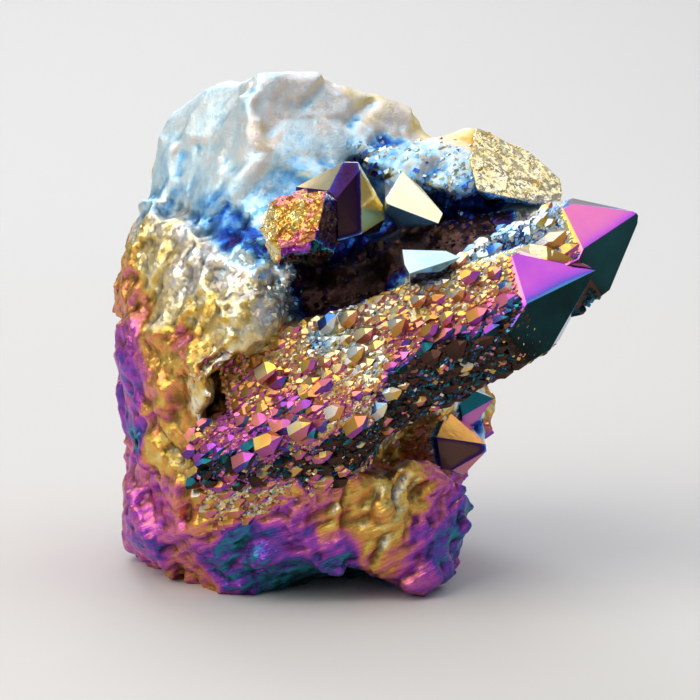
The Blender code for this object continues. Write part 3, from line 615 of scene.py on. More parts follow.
LOWEST_DRUSE = 1.2  # height over the ground in millimetres
DRUSE_LEAN = Vector((0.55, -0.15, 0.25))  # the way the root's grains lean
DRUSE_SCATTER = 0.22
DRUSE_FILM_SCATTER = 0.02
DRUSE_INSIDE = -0.2
RHOMB_PART = 0.6  # share of the root's grains that are rhombs
BOX_INSET = 0.3  # how far the grains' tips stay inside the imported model's box

# The stage's floor, in metres: how wide it is and how it runs back, bends and rises.
FLOOR_HALF_WIDTH = 2.2
FLOOR_FRONT = -1.6
BEND_START = 0.45
BEND_RADIUS = 0.5
BEND_STEPS = 12
FLOOR_TOP = 1.6

# Soft square lights: place, what each is aimed at and width in metres, its share of the key
# light's power, and its colour.
LIGHTS = {
    "key": ((-0.50, -0.38, 0.62), (0, 0, 0.03), 0.80, 1.0, "#fff8ee"),
    "top": ((0.35, 0.05, 1.15), (0.1, 0, 0.03), 1.60, 1.7, "#f6f8ff"),
    "rim": ((-0.15, 0.60, 0.50), (0, 0, 0.04), 0.40, 0.3, "#eef4ff"),
}

# The camera: its place in metres, how far it is turned up from straight down, and its lens and
# sensor in millimetres.
CAMERA_PLACE = (0.003, -0.344987, 0.089673)
CAMERA_TILT = math.radians(80)
CAMERA_LENS = 141.43
CAMERA_SENSOR = 36
CAMERA_NEAR = 0.01


def linear(text):
    """An sRGB hex colour as linear red, green and blue."""
    shares = [int(text[i : i + 2], 16) / 255 for i in (1, 3, 5)]
    return [c / 12.92 if c <= 0.04045 else ((c + 0.055) / 1.055) ** 2.4 for c in shares]


def object_from(bm, name):
    """Puts a shape into the scene as an object."""
    mesh = bpy.data.meshes.new(name)
    bm.to_mesh(mesh)
    bm.free()
    obj = bpy.data.objects.new(name, mesh)
    bpy.context.scene.collection.objects.link(obj)
    return obj


def freeze(obj):
    """Applies an object's modifiers to its mesh."""
    graph = bpy.context.evaluated_depsgraph_get()
    mesh = bpy.data.meshes.new_from_object(obj.evaluated_get(graph))
    obj.modifiers.clear()
    obj.data = mesh


def hull_of(corners):
    """The convex shape around corners in millimetres."""
    bm = bmesh.new()
    for corner in corners:
        bm.verts.new(Vector(corner) * MM)
    hull = bmesh.ops.convex_hull(bm, input=bm.verts)
    bmesh.ops.delete(bm, geom=hull["geom_interior"], context="VERTS")
    bmesh.ops.recalc_face_normals(bm, faces=bm.faces)
    return in_order(bm)


def rings_of(bm):
    """A shape's points in metres and its faces' rings of corners, in an order that never varies."""
    bm.verts.index_update()
    places = np.round(np.array([tuple(v.co) for v in bm.verts]), 8)
    order = np.lexsort(places.T)
    number = np.empty(len(order), int)
    number[order] = np.arange(len(order))
    rings = []
    for face in bm.faces:
        ring = [int(number[v.index]) for v in face.verts]
        first = ring.index(min(ring))
        rings.append(ring[first:] + ring[:first])
    bm.free()
    return places[order], sorted(rings)


def in_order(bm):
    """The same shape again, built in an order that never varies."""
    places, rings = rings_of(bm)
    again = bmesh.new()
    verts = [again.verts.new(place) for place in places]
    for ring in rings:
        again.faces.new([verts[corner] for corner in ring])
    again.normal_update()
    return again


def triangles_of(bm):
    """A shape of flat faces as points in metres and triangles."""
    places, rings = rings_of(bm)
    return places, np.array([(ring[0], *ring[k : k + 2]) for ring in rings for k in range(1, len(ring) - 1)])


def cut_off(bm, point, normal):
    """Slices away what lies beyond a plane and closes the cut with a flat face."""
    everything = bm.verts[:] + bm.edges[:] + bm.faces[:]
    bmesh.ops.bisect_plane(bm, geom=everything, plane_co=point, plane_no=normal, clear_outer=True)
    rim = [edge for edge in bm.edges if edge.is_boundary]
    bmesh.ops.holes_fill(bm, edges=rim)


def axis_frame(heading, pitch, roll=0.0):
    """A crystal's axis, its top side's direction and the direction towards the viewer."""
    turn = math.radians(heading)
    lift = math.radians(pitch)
    axis = Vector((math.cos(lift) * math.cos(turn), -math.cos(lift) * math.sin(turn), math.sin(lift)))
    level = Vector((-math.sin(turn), -math.cos(turn), 0))
    top = level.cross(axis)
    spin = Matrix.Rotation(math.radians(-roll), 3, axis)
    return axis, spin @ top, spin @ level


def side_direction(lattice, side):
    """The way one of a crystal's six sides faces, counted from the top towards the viewer."""
    _, top, front = lattice
    angle = math.radians(60 * side)
    return top * math.cos(angle) + front * math.sin(angle)


def crystal(tip, heading, pitch, reach, girdle, taper=0.0, roll=0.0, ends=(0,) * 6):
    """A six-sided crystal, cut out of a block by its side planes, its end faces and its root."""
    lattice = axis_frame(heading, pitch, roll)
    axis = lattice[0]
    tip = Vector(tip) * MM
    bm = bmesh.new()
    bmesh.ops.create_cube(bm, size=4 * reach * MM)
    bmesh.ops.translate(bm, vec=tip, verts=bm.verts)
    cut_off(bm, tip - axis * reach * MM, -axis)
    lean = math.radians(taper)
    for side, distance in enumerate(girdle):
        out = side_direction(lattice, side)
        shoulder = tip + (out - axis * END_RUN) * distance * MM
        cut_off(bm, shoulder, out * math.cos(lean) + axis * math.sin(lean))
        steep = out * math.cos(END_FACE_SLOPE) + axis * math.sin(END_FACE_SLOPE)
        cut_off(bm, tip + axis * ends[side] * MM, steep)
    bmesh.ops.recalc_face_normals(bm, faces=bm.faces)
    return in_order(bm)


def ramp(value, low, high):
    """0 below low, 1 above high, and smooth between."""
    share = min(1.0, max(0.0, (value - low) / (high - low)))
    return share * share * (3 - 2 * share)


def broken_faces(point, size, lean_share, step):
    """Height of a surface of broken faces: each cell leans its own way at its own height."""
    spots = noise.voronoi(point / size)[1]
    centre = spots[0] * size
    lean = 2 * noise.cell_vector(centre) - Vector((1, 1, 1))
    return (point - centre).dot(lean) * lean_share + (lean.x + lean.y) * step


def weathering(point):
    """How far the root's surface stands out at a point, in millimetres."""
    plane = broken_faces(point, *BREAKS)
    pits = noise.fractal(point / PIT_SIZE, 1.0, 2.0, 3)
    crown = ramp(point.z, *CROWN_PLANES)
    kept = 0.55 + 0.45 * ramp(point.z, *FOOT_PITS)
    return plane * (1 - 0.3 * crown) + PIT_HEIGHT * pits * (1 - 0.6 * crown) * kept


def creasing(points):
    """How deep the creases are at points in millimetres."""
    depth = np.zeros(len(points))
    for crease in CREASES:
        corners = np.array(crease["line"], float)
        for start, end in zip(corners, corners[1:]):
            along = np.clip(((points - start) @ (end - start)) / ((end - start) ** 2).sum(), 0, 1)
            gap = np.linalg.norm(points - start - along[:, None] * (end - start), axis=1)
            depth = np.maximum(depth, crease["depth"] * np.exp(-((gap / crease["width"]) ** 2)))
    return depth


def domed(gap):
    """Height of a rounded lump, from 0 to 1, by how much nearer its middle is than the next one."""
    return min(1.0, DOME_STEEPNESS * gap) ** DOME_ROUNDNESS


def lumpy(point, size):
    """Height of rounded lumps that meet in sharp valleys, from 0 to about 1."""
    nearest, second = noise.voronoi(point / size)[0][:2]
    return domed(second - nearest)


def ridged(point, size, shift=0.0):
    """Height of ridges that slant up across the foot, from -1 to 1 at their crests."""
    across = point.z - FOLD_SLANT * point.x
    place = Vector((point.x / size[0], point.y / size[1], across / size[2] + shift))
    return 1 - 2 * abs(noise.noise(place))


def chipping(point):
    """Finer relief on the weathered root: faint planes on the crown, lumps below, folds at the foot."""
    crown = ramp(point.z, *CROWN_LUMPS)
    foot = 1 - ramp(point.z, *FOOT_FOLDS)
    beads = 1 - ramp((point - BEADED[0]).length, 0.6 * BEADED[1], BEADED[1])
    chips = broken_faces(point, *CHIPS)
    shards = broken_faces(point + SHARD_SHIFT, *SHARDS)
    return (
        chips * (1 - 0.6 * crown)
        + shards * (1 - 0.85 * crown)
        + LUMP_HEIGHT * lumpy(point, LUMP_SIZE) * (1 - crown) * (1 - 0.8 * foot)
        + BEAD_HEIGHT * lumpy(point, BEAD_SIZE) * beads
        + (FOLD_HEIGHT * ridged(point, FOLD_SIZE) + RIDGE_HEIGHT * ridged(point, RIDGE_SIZE, 9)) * foot
        - RELIEF_SINK
    )


def scales(point, lattice):
    """Height of the scales on a grown-over side: each points along the crystal and ends in a step."""
    axis, top, front = lattice
    spot = Vector((point.dot(axis), point.dot(top), point.dot(front)))
    height = 0.0
    for share in (1.0, 0.42):
        place = Vector((spot.x / SCALE_LENGTH, spot.y / SCALE_WIDTH, spot.z / SCALE_WIDTH)) / share
        gaps, middles = noise.voronoi(place)
        step = domed(gaps[1] - gaps[0])
        height += share * (SCALE_RISE * step + SCALE_TILT * (place.x - middles[0].x) * step)
    return height


def melt(obj, voxel):
    """Merges an object's overlapping shells into one closed skin."""
    remesh = obj.modifiers.new("melt", "REMESH")
    remesh.mode = "VOXEL"
    remesh.voxel_size = voxel * MM
    freeze(obj)


def read(rows, name, width=1, kind=np.float32):
    """One property of a mesh's points, edges, corners or polygons, as an array."""
    flat = np.empty(len(rows) * width, kind)
    rows.foreach_get(name, flat)
    return flat.reshape(-1, width) if width > 1 else flat


def points_of(mesh):
    """A mesh's points, in metres."""
    return read(mesh.vertices, "co", 3).astype(float)


def normals_of(mesh):
    """The way a mesh faces at each point."""
    return read(mesh.vertex_normals, "vector", 3).astype(float)


def push_out(obj, relief):
    """Moves each point along its normal by relief(point in mm), also in mm."""
    mesh = obj.data
    points, normals = points_of(mesh), normals_of(mesh)
    heights = np.array([relief(Vector(point)) for point in points / MM])
    mesh.vertices.foreach_set("co", (points + normals * heights[:, None] * MM).ravel())
    mesh.update()


def averaged(values, edges, rounds):
    """Values at a mesh's points, each replaced by its neighbours' mean, several times over."""
    share = np.bincount(edges.ravel(), minlength=len(values)).astype(float)[:, None]
    for _ in range(rounds):
        total = np.zeros_like(values)
        np.add.at(total, edges[:, 0], values[edges[:, 1]])
        np.add.at(total, edges[:, 1], values[edges[:, 0]])
        values = 0.5 * values + 0.5 * total / np.maximum(share, 1)
    return values


def edges_of(mesh):
    """The two points of each edge."""
    return read(mesh.edges, "vertices", 2, np.int32)


def zoned_film(points):
    """The film's place on its scale at points in millimetres, from the nearest zones."""
    spots = np.array([spot for spots in FILM_ZONES.values() for spot in spots], float)
    sway = np.stack([np.sin(points[:, (k + 1) % 3] * 0.9 + k) + np.sin(points[:, (k + 2) % 3] * 0.43)
                     for k in range(3)], 1)
    points = points + ZONE_SWAY * sway
    film = np.empty(len(points))
    portion = 20000  # points worked out at a time, to spare memory
    for first in range(0, len(points), portion):
        part = slice(first, first + portion)
        gap = ((points[part, None, :] - spots[None, :, :3]) ** 2).sum(2) + ZONE_CORE
        weight = gap ** -ZONE_SHARPNESS
        film[part] = (weight * spots[:, 3]).sum(1) / weight.sum(1)
    return film


def drift(normals):
    """How far the film is moved along its scale on surfaces that face the given ways."""
    return DRIFT_SHARE * normals @ np.array(FILM_DRIFT)


def keep_value(mesh, name, values, domain="POINT"):
    """Stores one number for each point or corner, for the material to read."""
    attribute = mesh.attributes.new(name, "FLOAT", domain)
    attribute.data.foreach_set("value", np.asarray(values, np.float32))


def dress(obj, material):
    """Gives a piece its material and tells the frame what it stands for."""
    obj.data.materials.clear()
    obj.data.materials.append(material)
    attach(obj, "root")
    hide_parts(NODE)
    return obj


def add_node(tree, kind, settings=None, **inputs):
    """Adds a node, sets its properties, and fills or links its inputs by name or number.

    An input given as None is left as it is.
    """
    node = tree.nodes.new(kind)
    for name, value in (settings or {}).items():
        setattr(node, name, value)
    for name, value in inputs.items():
        if value is None:
            continue
        numbered = name[0] == "i" and name[1:].isdigit()
        socket = node.inputs[int(name[1:]) if numbered else name.replace("_", " ")]
        if isinstance(value, bpy.types.NodeSocket):
            tree.links.new(value, socket)
        else:
            socket.default_value = value
    return node


SUM_OF = {"operation": "MULTIPLY_ADD"}


def chipped(tree, place, size):
    """Little broken facets: a height that leans its own way in each cell, and each cell's own shade."""
    spot = add_node(
        tree, "ShaderNodeVectorMath", {"operation": "SCALE"}, Vector=place, Scale=1 / (size * MM)
    )
    cells = add_node(tree, "ShaderNodeTexVoronoi", Vector=spot.outputs[0], Scale=1.0)
    inside = add_node(
        tree, "ShaderNodeVectorMath", {"operation": "SUBTRACT"}, i0=spot.outputs[0],
        i1=cells.outputs["Position"],
    )
    lean = add_node(
        tree, "ShaderNodeVectorMath", {"operation": "SUBTRACT"}, i0=cells.outputs["Color"],
        i1=(0.5, 0.5, 0.5),
    )
    height = add_node(
        tree, "ShaderNodeVectorMath", {"operation": "DOT_PRODUCT"}, i0=inside.outputs[0],
        i1=lean.outputs[0],
    )
    shade = add_node(
        tree, "ShaderNodeVectorMath", {"operation": "DOT_PRODUCT"}, i0=lean.outputs[0], i1=(1, 0, 0)
    )
    return height.outputs["Value"], shade.outputs["Value"]


def with_chips(tree, place, phase, normal, width, height):
    """Adds little broken facets to a film, where its surface is marked as crisp."""
    crisp = add_node(tree, "ShaderNodeAttribute", {"attribute_name": "crisp"}).outputs["Fac"]
    level, shade = chipped(tree, place, width)
    shade = add_node(tree, "ShaderNodeMath", {"operation": "MULTIPLY"}, i0=shade, i1=crisp)
    phase = add_node(
        tree, "ShaderNodeMath", SUM_OF, i0=shade.outputs[0], i1=CHIP_SHADE, i2=phase.outputs[0]
    )
    bump = add_node(
        tree, "ShaderNodeBump", Strength=crisp, Distance=height * MM, Height=level, Normal=normal
    )
    return phase, bump.outputs["Normal"]


def with_streaks(tree, place, phase, normal, length, width, height):
    """Adds fine slanting striations to a film, where its surface is marked as streaked."""
    streaked = add_node(tree, "ShaderNodeAttribute", {"attribute_name": "streaked"}).outputs["Fac"]
    stretch = add_node(
        tree, "ShaderNodeMapping", {"vector_type": "TEXTURE"}, Vector=place,
        Rotation=(0, STREAK_SLANT, 0), Scale=(length * MM, length * MM, width * MM),
    )
    lines = add_node(
        tree, "ShaderNodeTexNoise", Vector=stretch.outputs[0], Scale=1.0, Detail=2.0, Roughness=0.6
    ).outputs["Fac"]
    level = add_node(tree, "ShaderNodeMath", {"operation": "SUBTRACT"}, i0=lines, i1=0.5)
    share = add_node(tree, "ShaderNodeMath", {"operation": "MULTIPLY"}, i0=level.outputs[0], i1=streaked)
    phase = add_node(
        tree, "ShaderNodeMath", SUM_OF, i0=share.outputs[0], i1=STREAK_SHADE, i2=phase.outputs[0]
    )
    bump = add_node(
        tree, "ShaderNodeBump", Strength=streaked, Distance=height * MM, Height=lines, Normal=normal
    )
    return phase, bump.outputs["Normal"]


def film_material(
    name, roughness, satin, patch, patch_share, grit, grit_depth, drifts=True, metal=0.85, chips=(),
    shading=0.5, thinning=0.0, streaks=None,
):
    """Quartz under an interference film: metal-like reflection tinted by the film's thickness.

    patch is the width in millimetres of the film's own clouds and grit that of the surface's finest
    relief. chips holds pairs of the width and height of little broken facets, also in millimetres,
    where the surface is marked as crisp. streaks holds the length, width and height of the fine
    striations that slant across a surface marked as streaked. Where the surface is marked hollow,
    deep between the grains and scales and in the root's pits, shading is the share of the recess
    colour mixed in as painted shade, and thinning the film's loss.
    """
    film = bpy.context.scene.quartz_film
    material = bpy.data.materials.new(name)
    material.use_nodes = True
    tree = material.node_tree
    tree.nodes.clear()
    where = add_node(tree, "ShaderNodeTexCoord")
    place = where.outputs["Object"]
    zone = add_node(tree, "ShaderNodeAttribute", {"attribute_name": "film"}).outputs["Fac"]
    hollow_shade = add_node(tree, "ShaderNodeAttribute", {"attribute_name": "hollow_shade"}).outputs["Fac"]
    dull = add_node(tree, "ShaderNodeAttribute", {"attribute_name": "satin"}).outputs["Fac"]
    clouds = add_node(
        tree, "ShaderNodeTexNoise", Vector=place, Scale=1 / (patch * MM), Detail=4.0, Roughness=0.6
    )
    cloudy = add_node(
        tree, "ShaderNodeMath", SUM_OF, i0=clouds.outputs["Fac"], i1=2 * patch_share, i2=-patch_share
    )
    phase = add_node(tree, "ShaderNodeMath", {"operation": "ADD"}, i0=zone, i1=cloudy.outputs[0])
    phase = add_node(tree, "ShaderNodeMath", SUM_OF, i0=hollow_shade, i1=-thinning, i2=phase.outputs[0])
    if drifts:
        facing = add_node(
            tree, "ShaderNodeVectorMath", {"operation": "DOT_PRODUCT"},
            i0=where.outputs["Normal"], i1=tuple(FILM_DRIFT),
        )
        phase = add_node(
            tree, "ShaderNodeMath", SUM_OF, i0=facing.outputs["Value"], i1=DRIFT_SHARE,
            i2=phase.outputs[0],
        )
    normal = None
    for width, height in chips:
        phase, normal = with_chips(tree, place, phase, normal, width, height)
    if streaks:
        phase, normal = with_streaks(tree, place, phase, normal, *streaks)
    scale = add_node(tree, "ShaderNodeValToRGB", Fac=phase.outputs[0])
    stops = scale.color_ramp.elements
    while len(stops) < len(FILM):
        stops.new(0.5)
    for stop, (colour, _, position) in zip(stops, FILM):
        stop.position = position
        stop.color = (*getattr(film, colour), 1.0)
    # Painted shade: the recess colour is mixed in as far as the surface is marked hollow.
    shade = add_node(tree, "ShaderNodeMath", {"operation": "MULTIPLY"}, i0=hollow_shade, i1=shading)
    shaded = add_node(
        tree, "ShaderNodeMix", {"data_type": "RGBA"}, i0=shade.outputs[0], i6=scale.outputs["Color"],
        i7=(*film.recess, 1.0),
    )
    fine = add_node(
        tree, "ShaderNodeTexNoise", Vector=place, Scale=1 / (grit * MM), Detail=3.0, Roughness=0.55
    )
    gloss = add_node(
        tree, "ShaderNodeMapRange", Value=clouds.outputs["Fac"], From_Min=0.3, From_Max=0.7,
        To_Min=roughness, To_Max=roughness + satin,
    )
    gloss = add_node(tree, "ShaderNodeMath", SUM_OF, i0=dull, i1=SATIN_ROUGHNESS, i2=gloss.outputs[0])
    relief = add_node(
        tree, "ShaderNodeBump", Strength=0.8, Distance=grit_depth * MM, Height=fine.outputs["Fac"],
        Normal=normal,
    )
    shader = add_node(
        tree, "ShaderNodeBsdfPrincipled", Base_Color=shaded.outputs[2], Metallic=metal,
        Roughness=gloss.outputs[0], Normal=relief.outputs["Normal"],
    )
    add_node(tree, "ShaderNodeOutputMaterial", Surface=shader.outputs[0])
    return material


def root_skin():
    """The fractured root, melted from its blocks, weathered and chipped."""
    bm = bmesh.new()
    for corners in ROOT_BLOCKS.values():
        block = hull_of(corners)
        mesh = bpy.data.meshes.new("block")
        block.to_mesh(mesh)
        block.free()
        bm.from_mesh(mesh)
        bpy.data.meshes.remove(mesh)
    root = object_from(bm, "fractured_root")
    melt(root, ROOT_VOXEL)
    push_out(root, weathering)
    melt(root, SKIN_VOXEL)
    bm = bmesh.new()
    bm.from_mesh(root.data)
    cut_off(bm, Vector((0, 0, 0)), Vector((0, 0, -1)))
    bm.to_mesh(root.data)
    bm.free()
    return root


def crease_root(root):
    """Lets the root's finer relief and its creases into the skin."""
    push_out(root, chipping)
    mesh = root.data
    points, normals, edges = points_of(mesh), normals_of(mesh), edges_of(mesh)
    smooth = averaged(normals, edges, 10)
    points = points - smooth * creasing(points / MM)[:, None] * MM
    points = averaged(points, edges, 1)
    rounded = averaged(points, edges, 60)
    for middle, reach in FOLDED:
        near = np.exp(-((np.linalg.norm(points / MM - np.array(middle), axis=1) / reach) ** 4))
        points += near[:, None] * (rounded - points)
    points[:, 2] = np.maximum(points[:, 2], 0)
    mesh.vertices.foreach_set("co", points.ravel())
    mesh.update()


def shade_root(root):
    """Stores the root's film, its hollows as painted shade, how satin its crown is and where it is chipped
    and streaked.
    """
    mesh = root.data
    points, normals, edges = points_of(mesh), normals_of(mesh), edges_of(mesh)
    smooth = averaged(normals, edges, 12)
    smooth /= np.linalg.norm(smooth, axis=1)[:, None]
    sunk = ((averaged(points, edges, 8) - points) * smooth).sum(1) / MM
    height = points[:, 2] / MM
    crown = np.clip((height - CROWN_SATIN[0]) / (CROWN_SATIN[1] - CROWN_SATIN[0]), 0, 1)
    foot = 1 - np.clip((height - FOOT_STREAKS[0]) / (FOOT_STREAKS[1] - FOOT_STREAKS[0]), 0, 1)
    # How sunk each point lies: it thins the film a little and, kept as hollow, paints shade there.
    hollow_shade = np.clip(sunk / HOLLOW_DEPTH, 0, 1)
    thinned = hollow_shade * (0.02 + 0.035 * crown)
    keep_value(mesh, "film", zoned_film(points / MM) - drift(smooth) - thinned)
    keep_value(mesh, "hollow_shade", hollow_shade * (1 - 0.75 * crown))
    keep_value(mesh, "satin", crown)
    keep_value(mesh, "crisp", (1 - 0.65 * crown) * (1 - 0.5 * foot))
    keep_value(mesh, "streaked", foot)


# How a triangle with no, one, two or three cut sides is split: corners 0 to 2, middles 3 to 5.
SPLITS = (
    ([0, 1, 2],),
    ([0, 3, 2], [3, 1, 2]),
    ([3, 1, 4], [0, 3, 4], [0, 4, 2]),
    ([0, 3, 5], [3, 1, 4], [5, 4, 2], [3, 4, 5]),
)
MOST_TRIANGLES = 200000
CRYSTAL_MARGIN = 0.5  # how far scales reach into a crystal, and relief and creases into the root
ROOT_MARGIN = 1.5
DEPTH_SHARE = 0.8  # how much longer edges may be for each millimetre inside another crystal or the root


def facet_films(bm, faces_film):
    """The film of each flat face, from the way it looks."""
    looks = np.array([look for look, _ in faces_film], float)
    looks /= np.linalg.norm(looks, axis=1)[:, None]
    films = np.array([film for _, film in faces_film])
    result = []
    for face in bm.faces:
        weight = np.exp(FACE_SHARPNESS * (looks @ np.array(face.normal)))
        result.append(float((weight * films).sum() / weight.sum()))
    return np.array(result)


def mesh_object(name, points, triangles):
    """An object from points in metres and triangles."""
    mesh = bpy.data.meshes.new(name)
    mesh.vertices.add(len(points))
    mesh.loops.add(triangles.size)
    mesh.polygons.add(len(triangles))
    mesh.vertices.foreach_set("co", points.astype(np.float32).ravel())
    mesh.loops.foreach_set("vertex_index", triangles.astype(np.int32).ravel())
    mesh.polygons.foreach_set("loop_start", np.arange(0, triangles.size, 3, dtype=np.int32))
    mesh.update(calc_edges=True)
    mesh.validate()
    mesh.shade_flat()
    obj = bpy.data.objects.new(name, mesh)
    bpy.context.scene.collection.objects.link(obj)
    return obj


def refined(points, triangles, longest, depth_of):
    """Splits triangles until no edge that shows is longer than the given length in millimetres."""
    depth = depth_of(points)
    while True:
        ends = np.sort(triangles[:, [0, 1, 1, 2, 2, 0]].reshape(-1, 2), axis=1)
        keys, edge_of = np.unique(ends[:, 0] * len(points) + ends[:, 1], return_inverse=True)
        one, other = keys // len(points), keys % len(points)
        length = np.linalg.norm(points[one] - points[other], axis=1) / MM
        split = length > longest + DEPTH_SHARE * np.minimum(depth[one], depth[other])
        if not split.any():
            return points, triangles
        middle = np.full(len(keys), -1)
        middle[split] = len(points) + np.arange(split.sum())
        added = (points[one[split]] + points[other[split]]) / 2
        points, depth = np.concatenate([points, added]), np.concatenate([depth, depth_of(added)])
        middle = middle[edge_of].reshape(-1, 3)
        parts = []
        for cuts in range(4):
            chosen = (middle >= 0).sum(1) == cuts
            corners, mids = triangles[chosen], middle[chosen]
            if cuts in (1, 2):  # turned so that the cut side comes first, or the whole side last
                first = np.argmax(mids >= 0, axis=1) if cuts == 1 else (np.argmax(mids < 0, axis=1) + 1) % 3
                turn = (first[:, None] + np.arange(3)) % 3
                corners, mids = np.take_along_axis(corners, turn, 1), np.take_along_axis(mids, turn, 1)
            every = np.concatenate([corners, mids], axis=1)
            parts += [every[:, piece] for piece in SPLITS[cuts]]
        triangles = np.concatenate(parts)
        if len(triangles) > MOST_TRIANGLES:
            raise RuntimeError("a crystal's mesh grew past its limit")


def dressed_crystal(
    name, bm, films, material, depth_of, grain, rim=RIM_WIDTH, rim_share=RIM_SHARE, rough=None, stain=0.0
):
    """A crystal with rounded edges, at which a face's film thickens towards its neighbours'."""
    faces = [(face.normal.copy(), face.calc_center_median()) for face in bm.faces]
    own = facet_films(bm, films)
    bmesh.ops.bevel(
        bm, geom=bm.edges[:], offset=EDGE_ROUNDING * MM, segments=1, affect="EDGES", profile=0.5
    )
    obj = mesh_object(name, *refined(*triangles_of(bm), grain, depth_of))
    mesh = obj.data
    normals = np.array([tuple(n) for n, _ in faces])
    offsets = np.array([n.dot(c) for n, c in faces]) / MM
    corners = read(mesh.loops, "vertex_index", kind=np.int32)
    points = points_of(mesh) / MM
    nearest = np.argmax(read(mesh.polygons, "normal", 3) @ normals.T, axis=1)
    at = np.repeat(nearest, read(mesh.polygons, "loop_total", kind=np.int32))
    inside = offsets[None, :] - points[corners] @ normals.T
    pull = np.exp(-np.clip(inside, 0, None) / rim)
    pull *= own[None, :] > own[at][:, None]
    other = (pull * own[None, :]).sum(1)
    film = (own[at] + rim_share * other) / (1 + rim_share * pull.sum(1))
    if stain:
        stains = np.array([noise.fractal(Vector(point) / 1.3, 0.9, 2.0, 3) for point in points])
        film = film + stain * stains[corners]
    keep_value(mesh, "film", film, "CORNER")
    if rough:
        push_out(obj, rough)
        keep_value(mesh, "crisp", np.ones(len(mesh.vertices)))
    return dress(obj, material)


def torn_end(point):
    """Relief of the stub's broken end: steep little steps."""
    steps = broken_faces(point, *TORN_STEPS)
    return steps + 0.12 * noise.fractal(point / 0.7, 0.8, 2.1, 3)


def worn_face(point):
    """Relief of the upper block's broken end: shallow chips."""
    return broken_faces(point, *WORN_CHIPS) + 0.07 * noise.fractal(point / 1.3, 0.9, 2.1, 3)


# Crystals whose end faces are grown over as well.
WHOLLY_GROWN = ("lower_rib", "keel")

# Crystals that nothing grows on where they touch another one.
BARE_BESIDE = {"back_right": ("main",)}

# Crystals with a finer mesh, for their scales, and its longest edge in millimetres.
SCALE_GRAINS = {"main": 0.36, "back_right": 0.46, "lower_rib": 0.36, "keel": 0.40}
SCALE_THINNER = 0.10  # how much thinner the film is on the scales than on what stands on them

# The two broken ends: their relief, how much their film varies and their mesh's longest edge.
TORN = {"stub": (torn_end, 0.12, 0.30), "block_end": (worn_face, 0.03, 0.38)}
BROKEN_GRAIN = 0.45  # the longest edge on the other broken crystals


def growth_frame(spec):
    """A crystal's axes and tip, and its sides and end faces as rows of direction and distance."""
    axis, *_ = lattice = axis_frame(spec["heading"], spec["pitch"], spec.get("roll", 0.0))
    tip = Vector(spec["tip"])
    lean = math.radians(spec.get("taper", 0.0))
    sides, ends = [], []
    for side, distance in enumerate(spec["girdle"]):
        out = side_direction(lattice, side)
        normal = out * math.cos(lean) + axis * math.sin(lean)
        sides.append((*normal, normal.dot(tip + (out - axis * END_RUN) * distance)))
        normal = out * math.cos(END_FACE_SLOPE) + axis * math.sin(END_FACE_SLOPE)
        ends.append((*normal, normal.dot(tip + axis * spec.get("ends", (0,) * 6)[side])))
    return lattice, tip, np.array(sides), np.array(ends)


def above(planes, points):
    """How far points in millimetres lie beyond each plane."""
    return points @ planes[:, :3].T - planes[:, 3]


def grow_scales(obj, spec, whole, beside):
    """Roughens a crystal's sides into scales with the film of what grew on them, and paints shade in the
    valleys between them.

    Its end faces stay flat unless whole, and so does what touches the solids beside it.
    """
    lattice, _, _, ends = growth_frame(spec)
    mesh = obj.data
    points, normals = points_of(mesh), normals_of(mesh)
    share = np.clip((-above(ends, points / MM).max(1) - SCALE_START) / SCALE_BLEND, 0, 1)
    share = np.maximum(share, float(whole))
    for planes in beside:
        share *= np.clip((above(planes, points / MM).max(1) - BESIDE_START) / BESIDE_BLEND, 0, 1)
    heights = np.array([scales(Vector(point), lattice) for point in points / MM])
    _, before, _ = polygons_of(mesh)
    moved = points + normals * (share * (heights - SCALE_RISE))[:, None] * MM
    mesh.vertices.foreach_set("co", moved.ravel())
    mesh.update()
    _, after, _ = polygons_of(mesh)
    corners = read(mesh.loops, "vertex_index", kind=np.int32)
    totals = read(mesh.polygons, "loop_total", kind=np.int32)
    film = read(mesh.attributes["film"].data, "value")
    turn = SCALE_DRIFT * (drift(after) - drift(before))
    grown = zoned_film(points / MM)[corners] + np.repeat(turn, totals) - SCALE_THINNER
    film = film + share[corners] * (grown - film)
    mesh.attributes["film"].data.foreach_set("value", film.astype(np.float32))
    keep_value(mesh, "crisp", share)
    keep_value(mesh, "satin", 0.5 * share)
    # painted shade in the valleys between the scales
    keep_value(mesh, "hollow_shade", share * np.clip(1.1 - heights / SCALE_RISE, 0, 1))


def shape_of(bm):
    """A closed shape as arrays: its points along, above and before its axis, triangles and the painted shade
    that darkens it from its tip down.
    """
    points, triangles = triangles_of(bm)
    along = points[:, [0, 2, 1]] / MM * (1, 1, -1)
    return along, triangles, np.clip(-along[:, 0] / SHADE_LENGTH - SHADE_START, 0, 1)


def point_shapes(rng, count=20):
    """Short six-sided points, one half-width wide."""
    shapes = []
    for _ in range(count):
        girdle = [rng.uniform(0.72, 1.22) for _ in range(6)]
        ends = [rng.choice((0, 0, 0, 0.25, 0.5)) for _ in range(6)]
        shapes.append(shape_of(crystal((0, 0, 0), 0, 0, rng.uniform(2.1, 3.0), girdle, 3.0, 0.0, ends)))
    return shapes


def rhomb_shapes(rng, count=16):
    """Quartz's three-sided ends, small and blunt like cubes on a corner."""
    shapes = []
    for _ in range(count):
        edges = []
        for k in range(3):
            turn = math.radians(120 * k + rng.uniform(-14, 14))
            across = math.sin(RHOMB_SLOPE)
            edge = (-math.cos(RHOMB_SLOPE), across * math.cos(turn), across * math.sin(turn))
            edges.append(rng.uniform(0.8, 1.5) * np.array(edge))
        corners = [
            sum((edges[k] for k in range(3) if mask >> k & 1), np.zeros(3)) for mask in range(8)
        ]
        shapes.append(shape_of(hull_of(corners)))
    return shapes


